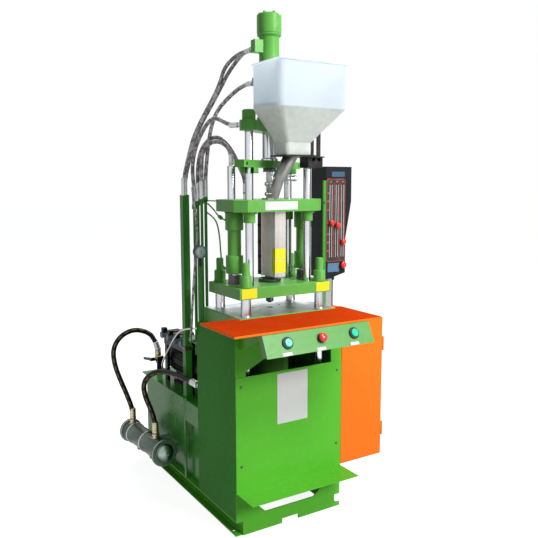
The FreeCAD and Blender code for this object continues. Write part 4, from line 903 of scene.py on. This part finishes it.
class MACHINE_OT_slim_pipes(bpy.types.Operator):
    """Slim pipes to plate, cylinder and foot, the gauge hose, the steel cable and fittings"""

    bl_idname = "machine.slim_pipes"
    bl_label = "Slim pipes"

    def execute(self, context):
        for name, (radius, look, slot, bodies, points) in SLIM.items():
            line = smooth_line(row_points(points))
            skin = (braid_finish("gauge_braid", 6.0, 220.0) if look == "hose_braid"
                    else finish(look))
            hose(name, line, radius / 1000, skin, bodies,
                 around=16)
        for name, start, end, radius, body, look in SLIM_FITTINGS:
            first, last = np.array(row_points([start, end]))
            far = float(np.linalg.norm(last - first))
            r = radius / 1000
            verts, faces = lathe(first, last - first, [
                (0, r * 0.5), (0, r * 0.9), (far * 0.1, r), (far * 0.9, r), (far, r * 0.9),
                (far, r * 0.5)], 18)
            place(name, verts, faces, body, finish(look))
        return {"FINISHED"}


class MACHINE_OT_conduit(bpy.types.Operator):
    """Corrugated conduit between control box and electric cabinet"""

    bl_idname = "machine.conduit"
    bl_label = "Conduit"

    def execute(self, context):
        line = smooth_line(row_points(CONDUIT), samples=60)
        middle, ripple, pitch = 0.0083, 0.0007, 0.0042
        radii = middle + ripple * np.sin(distances(line) / pitch * 2 * math.pi)
        hose("conduit_sleeve", line, radii, finish("black_plastic"), ("base",),
             "cable_conduit", around=24)
        return {"FINISHED"}


# ------------------------------------------------------------------ plates and labels

def flat_piece(name, body, look, *parts):
    """One piece with flat faces, joined from several (verts, faces)."""
    verts, faces = joined(*parts)
    place(name, verts, faces, body, finish(look), smooth=False)


# The console's face: how far it leans, and where its top edge is.
CONSOLE_LEAN = math.atan2(37.5, 77)
CONSOLE_TOP = (-0.384 + BACK, 0.852)


def leaning(verts):
    """From the console face's own frame, face at y 0 and top edge at z 0, to the row frame."""
    cosine, sine = math.cos(CONSOLE_LEAN), math.sin(CONSOLE_LEAN)
    x, y, z = verts.T
    return np.stack([x, y * cosine + z * sine + CONSOLE_TOP[0],
                     z * cosine - y * sine + CONSOLE_TOP[1]], 1)


# Blank plates: name, two corners, body, finish.
STICKERS = (
    ("name_plate", (-88, -112.7, 1266), (62, -111.8, 1299), "carriage", "white_plate"),
    ("patch_left", (-204, -130.7, 932), (-137, -129.8, 970), "clamp", "yellow_patch"),
    ("patch_right", (142, -130.7, 932), (208, -129.8, 970), "clamp", "yellow_patch"),
    ("box_label_high", (315, 1.4, 1396), (384, 2.2, 1418), "base", "label_dark"),
    ("box_label_low", (297, 1.4, 985), (360, 2.2, 1024), "base", "label_blue"),
)


# The two patches folded round the barrel cover's corner: name, foot and head.
COVER_PATCHES = (("cover_patch_high", 1067, 1111), ("cover_patch_low", 1015, 1064))

# Middles of the tags under the three buttons.
TAG_PLACES = (-186, -40, 111)


class MACHINE_OT_labels(bpy.types.Operator):
    """Blank name plate, blank patches and the tags under the buttons"""

    bl_idname = "machine.labels"
    bl_label = "Labels"

    def execute(self, context):
        for name, low, high, body, look in STICKERS:
            flat_piece(name, body, look, slab(*row_points([low, high]), 0.0015))
        for name, low, high in COVER_PATCHES:
            front = slab(*row_points([(-25.6, -81.6, low), (25, -80.8, high)]))
            side = slab(*row_points([(-25.6, -81.6, low), (-24.8, -60, high)]))
            flat_piece(name, "carriage", "yellow_patch", front, side)
        tags = []
        for x in TAG_PLACES:
            verts, faces = slab((x / 1000 - 0.019, -0.0006, -0.084),
                                (x / 1000 + 0.019, 0.0003, -0.0725), 0.001)
            tags.append((leaning(verts), faces))
        flat_piece("button_tags", "base", "white_plate", *tags)
        return {"FINISHED"}


# Scale plate: its corners as x and z, its border's width, and its front face as y.
SCALE_LOW, SCALE_HIGH, SCALE_BORDER, SCALE_FACE = (286, 1030), (387, 1388), 4, -0.7
# Middles of the three slots and of the strips between them, the slots' foot and head, and the
# heights of the marks at their left.
SLOTS, SLOT_DIVIDERS = (310, 343, 373), (326.5, 358)
SLOT_FOOT, SLOT_HEAD = 1050, 1362
SCALE_STEPS = (1079, 1116, 1151, 1199, 1254, 1292, 1326)


class MACHINE_OT_scale(bpy.types.Operator):
    """Border, dividing strips, pale slot rims and red marks on the scale plate"""

    bl_idname = "machine.scale"
    bl_label = "Scale plate"

    def execute(self, context):
        (left, foot), (right, head), wide = SCALE_LOW, SCALE_HIGH, SCALE_BORDER
        border = [((left, foot), (right, foot + wide)), ((left, head - wide), (right, head)),
                  ((left, foot), (left + wide, head)), ((right - wide, foot), (right, head))]
        border += [((x - 2.2, SLOT_FOOT - 2), (x + 2.2, SLOT_HEAD + 8)) for x in SLOT_DIVIDERS]
        rims, marks = [], []
        for x in SLOTS:
            rims += [((x - 7.6, SLOT_FOOT), (x - 3.3, SLOT_HEAD)),
                     ((x + 3.3, SLOT_FOOT), (x + 7.6, SLOT_HEAD))]
            marks.append(((x - 4, SLOT_HEAD + 10), (x + 4, SLOT_HEAD + 16)))
        for z in SCALE_STEPS:
            marks.append(((291.5, z - 3), (300, z + 3)))
        for name, boxes, look in (("scale_border", border, "scale_border"),
                                  ("slot_rims", rims, "slot_grey"),
                                  ("scale_marks", marks, "tick_red")):
            flat_piece(name, "base", look, *(
                slab(*row_points([(a[0], SCALE_FACE, a[1]), (b[0], 0.2, b[1])]))
                for a, b in boxes))
        return {"FINISHED"}


# Middle of the gauge's front rim. Then, in metres, the radii of the dial and of its marks' outer
# ends, and of the inner ends of the long and the short marks.
GAUGE = (-237, 146, 1091)
DIAL_RADIUS, MARKS_RADIUS, LONG_MARK, SHORT_MARK = 0.0234, 0.0215, 0.0165, 0.0185


class MACHINE_OT_dial(bpy.types.Operator):
    """Face, graduation marks and rim of the pressure gauge"""

    bl_idname = "machine.dial"
    bl_label = "Gauge dial"

    def execute(self, context):
        x, y, z = row_points([GAUGE])[0]
        flat_piece("dial_face", "base", "dial_face", lathe((x, y + 0.0049, z), FORWARD, [
            (0, 0.0001), (0, DIAL_RADIUS), (0.0004, DIAL_RADIUS), (0.0004, 0.0001)]))
        verts, faces = lathe((x, y, z), FORWARD, [
            (-0.002, 0.0236), (0.0006, 0.0236), (0.0013, 0.0245), (0.0006, 0.0255),
            (-0.002, 0.0272), (-0.004, 0.0272), (-0.004, 0.0236), (-0.002, 0.0236)],
            closed=False)
        place("dial_rim", verts, faces, "base", finish("blue_grey"))
        marks = []
        middle, outer, half_width = np.array((x, y + 0.0045, z)), MARKS_RADIUS, 0.0008
        for k, turn in enumerate(np.radians(np.linspace(-135, 135, 19))):
            inner = LONG_MARK if k % 3 == 0 else SHORT_MARK
            out = np.array((math.sin(turn), 0, math.cos(turn)))
            side = np.array((math.cos(turn), 0, -math.sin(turn))) * half_width
            flat = middle + np.array([out * inner - side, out * inner + side,
                                      out * outer + side, out * outer - side])
            corners = np.concatenate([flat, flat - (0, 0.0003, 0)])
            marks.append((corners, tube_faces(2, 4)))
        flat_piece("dial_marks", "base", "black_plastic", *marks)
        return {"FINISHED"}


def rounded_ring(left, front, right, back, radius):
    """Outline of a rectangle with rounded corners, 28 points: corner centre + radius (cos, sin)."""
    t = np.linspace(0, math.pi / 2, 7)
    parts = []
    for n, (x, y) in enumerate(((right - radius, back - radius), (left + radius, back - radius),
                                (left + radius, front + radius),
                                (right - radius, front + radius))):
        parts.append((x, y) + radius * circle_points(t + n * math.pi / 2))
    return np.concatenate(parts)


# Space inside the hopper's upper box and inside its neck: left, front, right, back and corner.
HOPPER_INSIDE, NECK_INSIDE = (-133.5, -292.5, 153.5, -100.5, 16), (-33.5, -184.5, 68.5, -106, 6)


class MACHINE_OT_granules(bpy.types.Operator):
    """Heap of plastic granules in the hopper: rings lofted from neck to level, then inwards"""

    bl_idname = "machine.granules"
    bl_label = "Granules"

    def execute(self, context):
        wide, neck = rounded_ring(*HOPPER_INSIDE), rounded_ring(*NECK_INSIDE)
        middle = wide.mean(axis=0)
        rings = [(neck, 1477.0), (neck, 1521.0), (wide, 1640.5)]
        layers = [np.column_stack([ring, np.full(len(ring), z)]) for ring, z in rings]
        for s in np.linspace(1, 0.02, 22):
            ring = middle + (wide - middle) * s
            x, y = ring.T
            # height at the front, plus the rise towards the rear, plus low waves both ways
            level = (HEAP_HEIGHT + HEAP_RISE * (y - HEAP_FRONT)
                     + 3 * np.sin(x / 17) * np.sin(y / 13 + x / 31))
            layers.append(np.column_stack([ring, level - 4 * (1 - s)]))
        verts = np.concatenate(layers) / 1000 + (0, BACK, 0)
        faces = tube_faces(len(layers), len(wide))
        place("granule_heap", verts, faces, "carriage", finish("granules"))
        return {"FINISHED"}


# ------------------------------------------------------------------ settings, panel, main

class MachineSizes(bpy.types.PropertyGroup):
    """Sizes that the operators read"""

    edge_softening: bpy.props.FloatProperty(
        name="Edge softening", description="Width of the softened edges of the frame's parts",
        default=0.0012, min=0.0, subtype="DISTANCE", unit="LENGTH")
    cooler_hose: bpy.props.FloatProperty(
        name="Cooler hose", description="Outer diameter of the two cooler hoses",
        default=0.024, min=0.001, subtype="DISTANCE", unit="LENGTH")
    loom_hose: bpy.props.FloatProperty(
        name="Loom hose", description="Outer diameter of the braided hoses",
        default=0.016, min=0.001, subtype="DISTANCE", unit="LENGTH")


def paint(name, parts):
    """Panel colour of a finish: it starts as the finish's own, and its second tone follows it."""
    return bpy.props.FloatVectorProperty(
        name=name.replace("_", " ").capitalize(), description="Colour of the " + parts,
        default=FINISHES[name][1], min=0.0, max=1.0, subtype="COLOR")


class MachineColours(bpy.types.PropertyGroup):
    """Colours that the finishes read"""

    sheet_green: paint("sheet_green", "front panel, base cabinet and floor channels")
    side_green: paint("side_green", "oil tank, upright pipes and control post")
    casting_green: paint("casting_green", "platens, plates, cylinders and nuts")
    console_green: paint("console_green", "console sheet under the work table")
    orange: paint("orange", "electric cabinet, its door and the edges of the table")
    table_orange: paint("table_orange", "top of the work table")
    box_black: paint("box_black", "control box")
    black_enamel: paint("black_enamel", "motor, pump, valves and hopper bracket")
    red_plastic: paint("red_plastic", "stop button, reset button and slider knobs")
    cyan_plastic: paint("cyan_plastic", "two start buttons")
    yellow_patch: paint("yellow_patch", "blank patches on platen and barrel cover")
    milky_plastic: paint("milky_plastic", "hopper")


class MACHINE_PT_panel(bpy.types.Panel):
    """Sidebar panel with the machine's pieces"""

    bl_idname = "MACHINE_PT_panel"
    bl_label = "Moulding machine"
    bl_space_type = "VIEW_3D"
    bl_region_type = "UI"
    bl_category = "Machine"

    def draw(self, context):
        for settings, kind in ((context.scene.machine_sizes, MachineSizes),
                               (context.scene.machine_colours, MachineColours)):
            for setting in kind.__annotations__:
                self.layout.prop(settings, setting)
        for step in STEPS:
            self.layout.operator(step.bl_idname)


STEPS = (MACHINE_OT_hoses, MACHINE_OT_slim_pipes, MACHINE_OT_conduit, MACHINE_OT_finishes,
         MACHINE_OT_labels, MACHINE_OT_scale, MACHINE_OT_dial, MACHINE_OT_granules,
         MACHINE_OT_stage)
CLASSES = (MachineSizes, MachineColours, *STEPS, MACHINE_PT_panel)


def register():
    for kind in CLASSES:
        bpy.utils.register_class(kind)
    bpy.types.Scene.machine_sizes = bpy.props.PointerProperty(type=MachineSizes)
    bpy.types.Scene.machine_colours = bpy.props.PointerProperty(type=MachineColours)


def unregister():
    del bpy.types.Scene.machine_sizes, bpy.types.Scene.machine_colours
    for kind in reversed(CLASSES):
        bpy.utils.unregister_class(kind)


def main():
    register()
    for step in STEPS:
        family, name = step.bl_idname.split(".")
        getattr(getattr(bpy.ops, family), name)()
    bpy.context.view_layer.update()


if __name__ == "__main__":
    main()
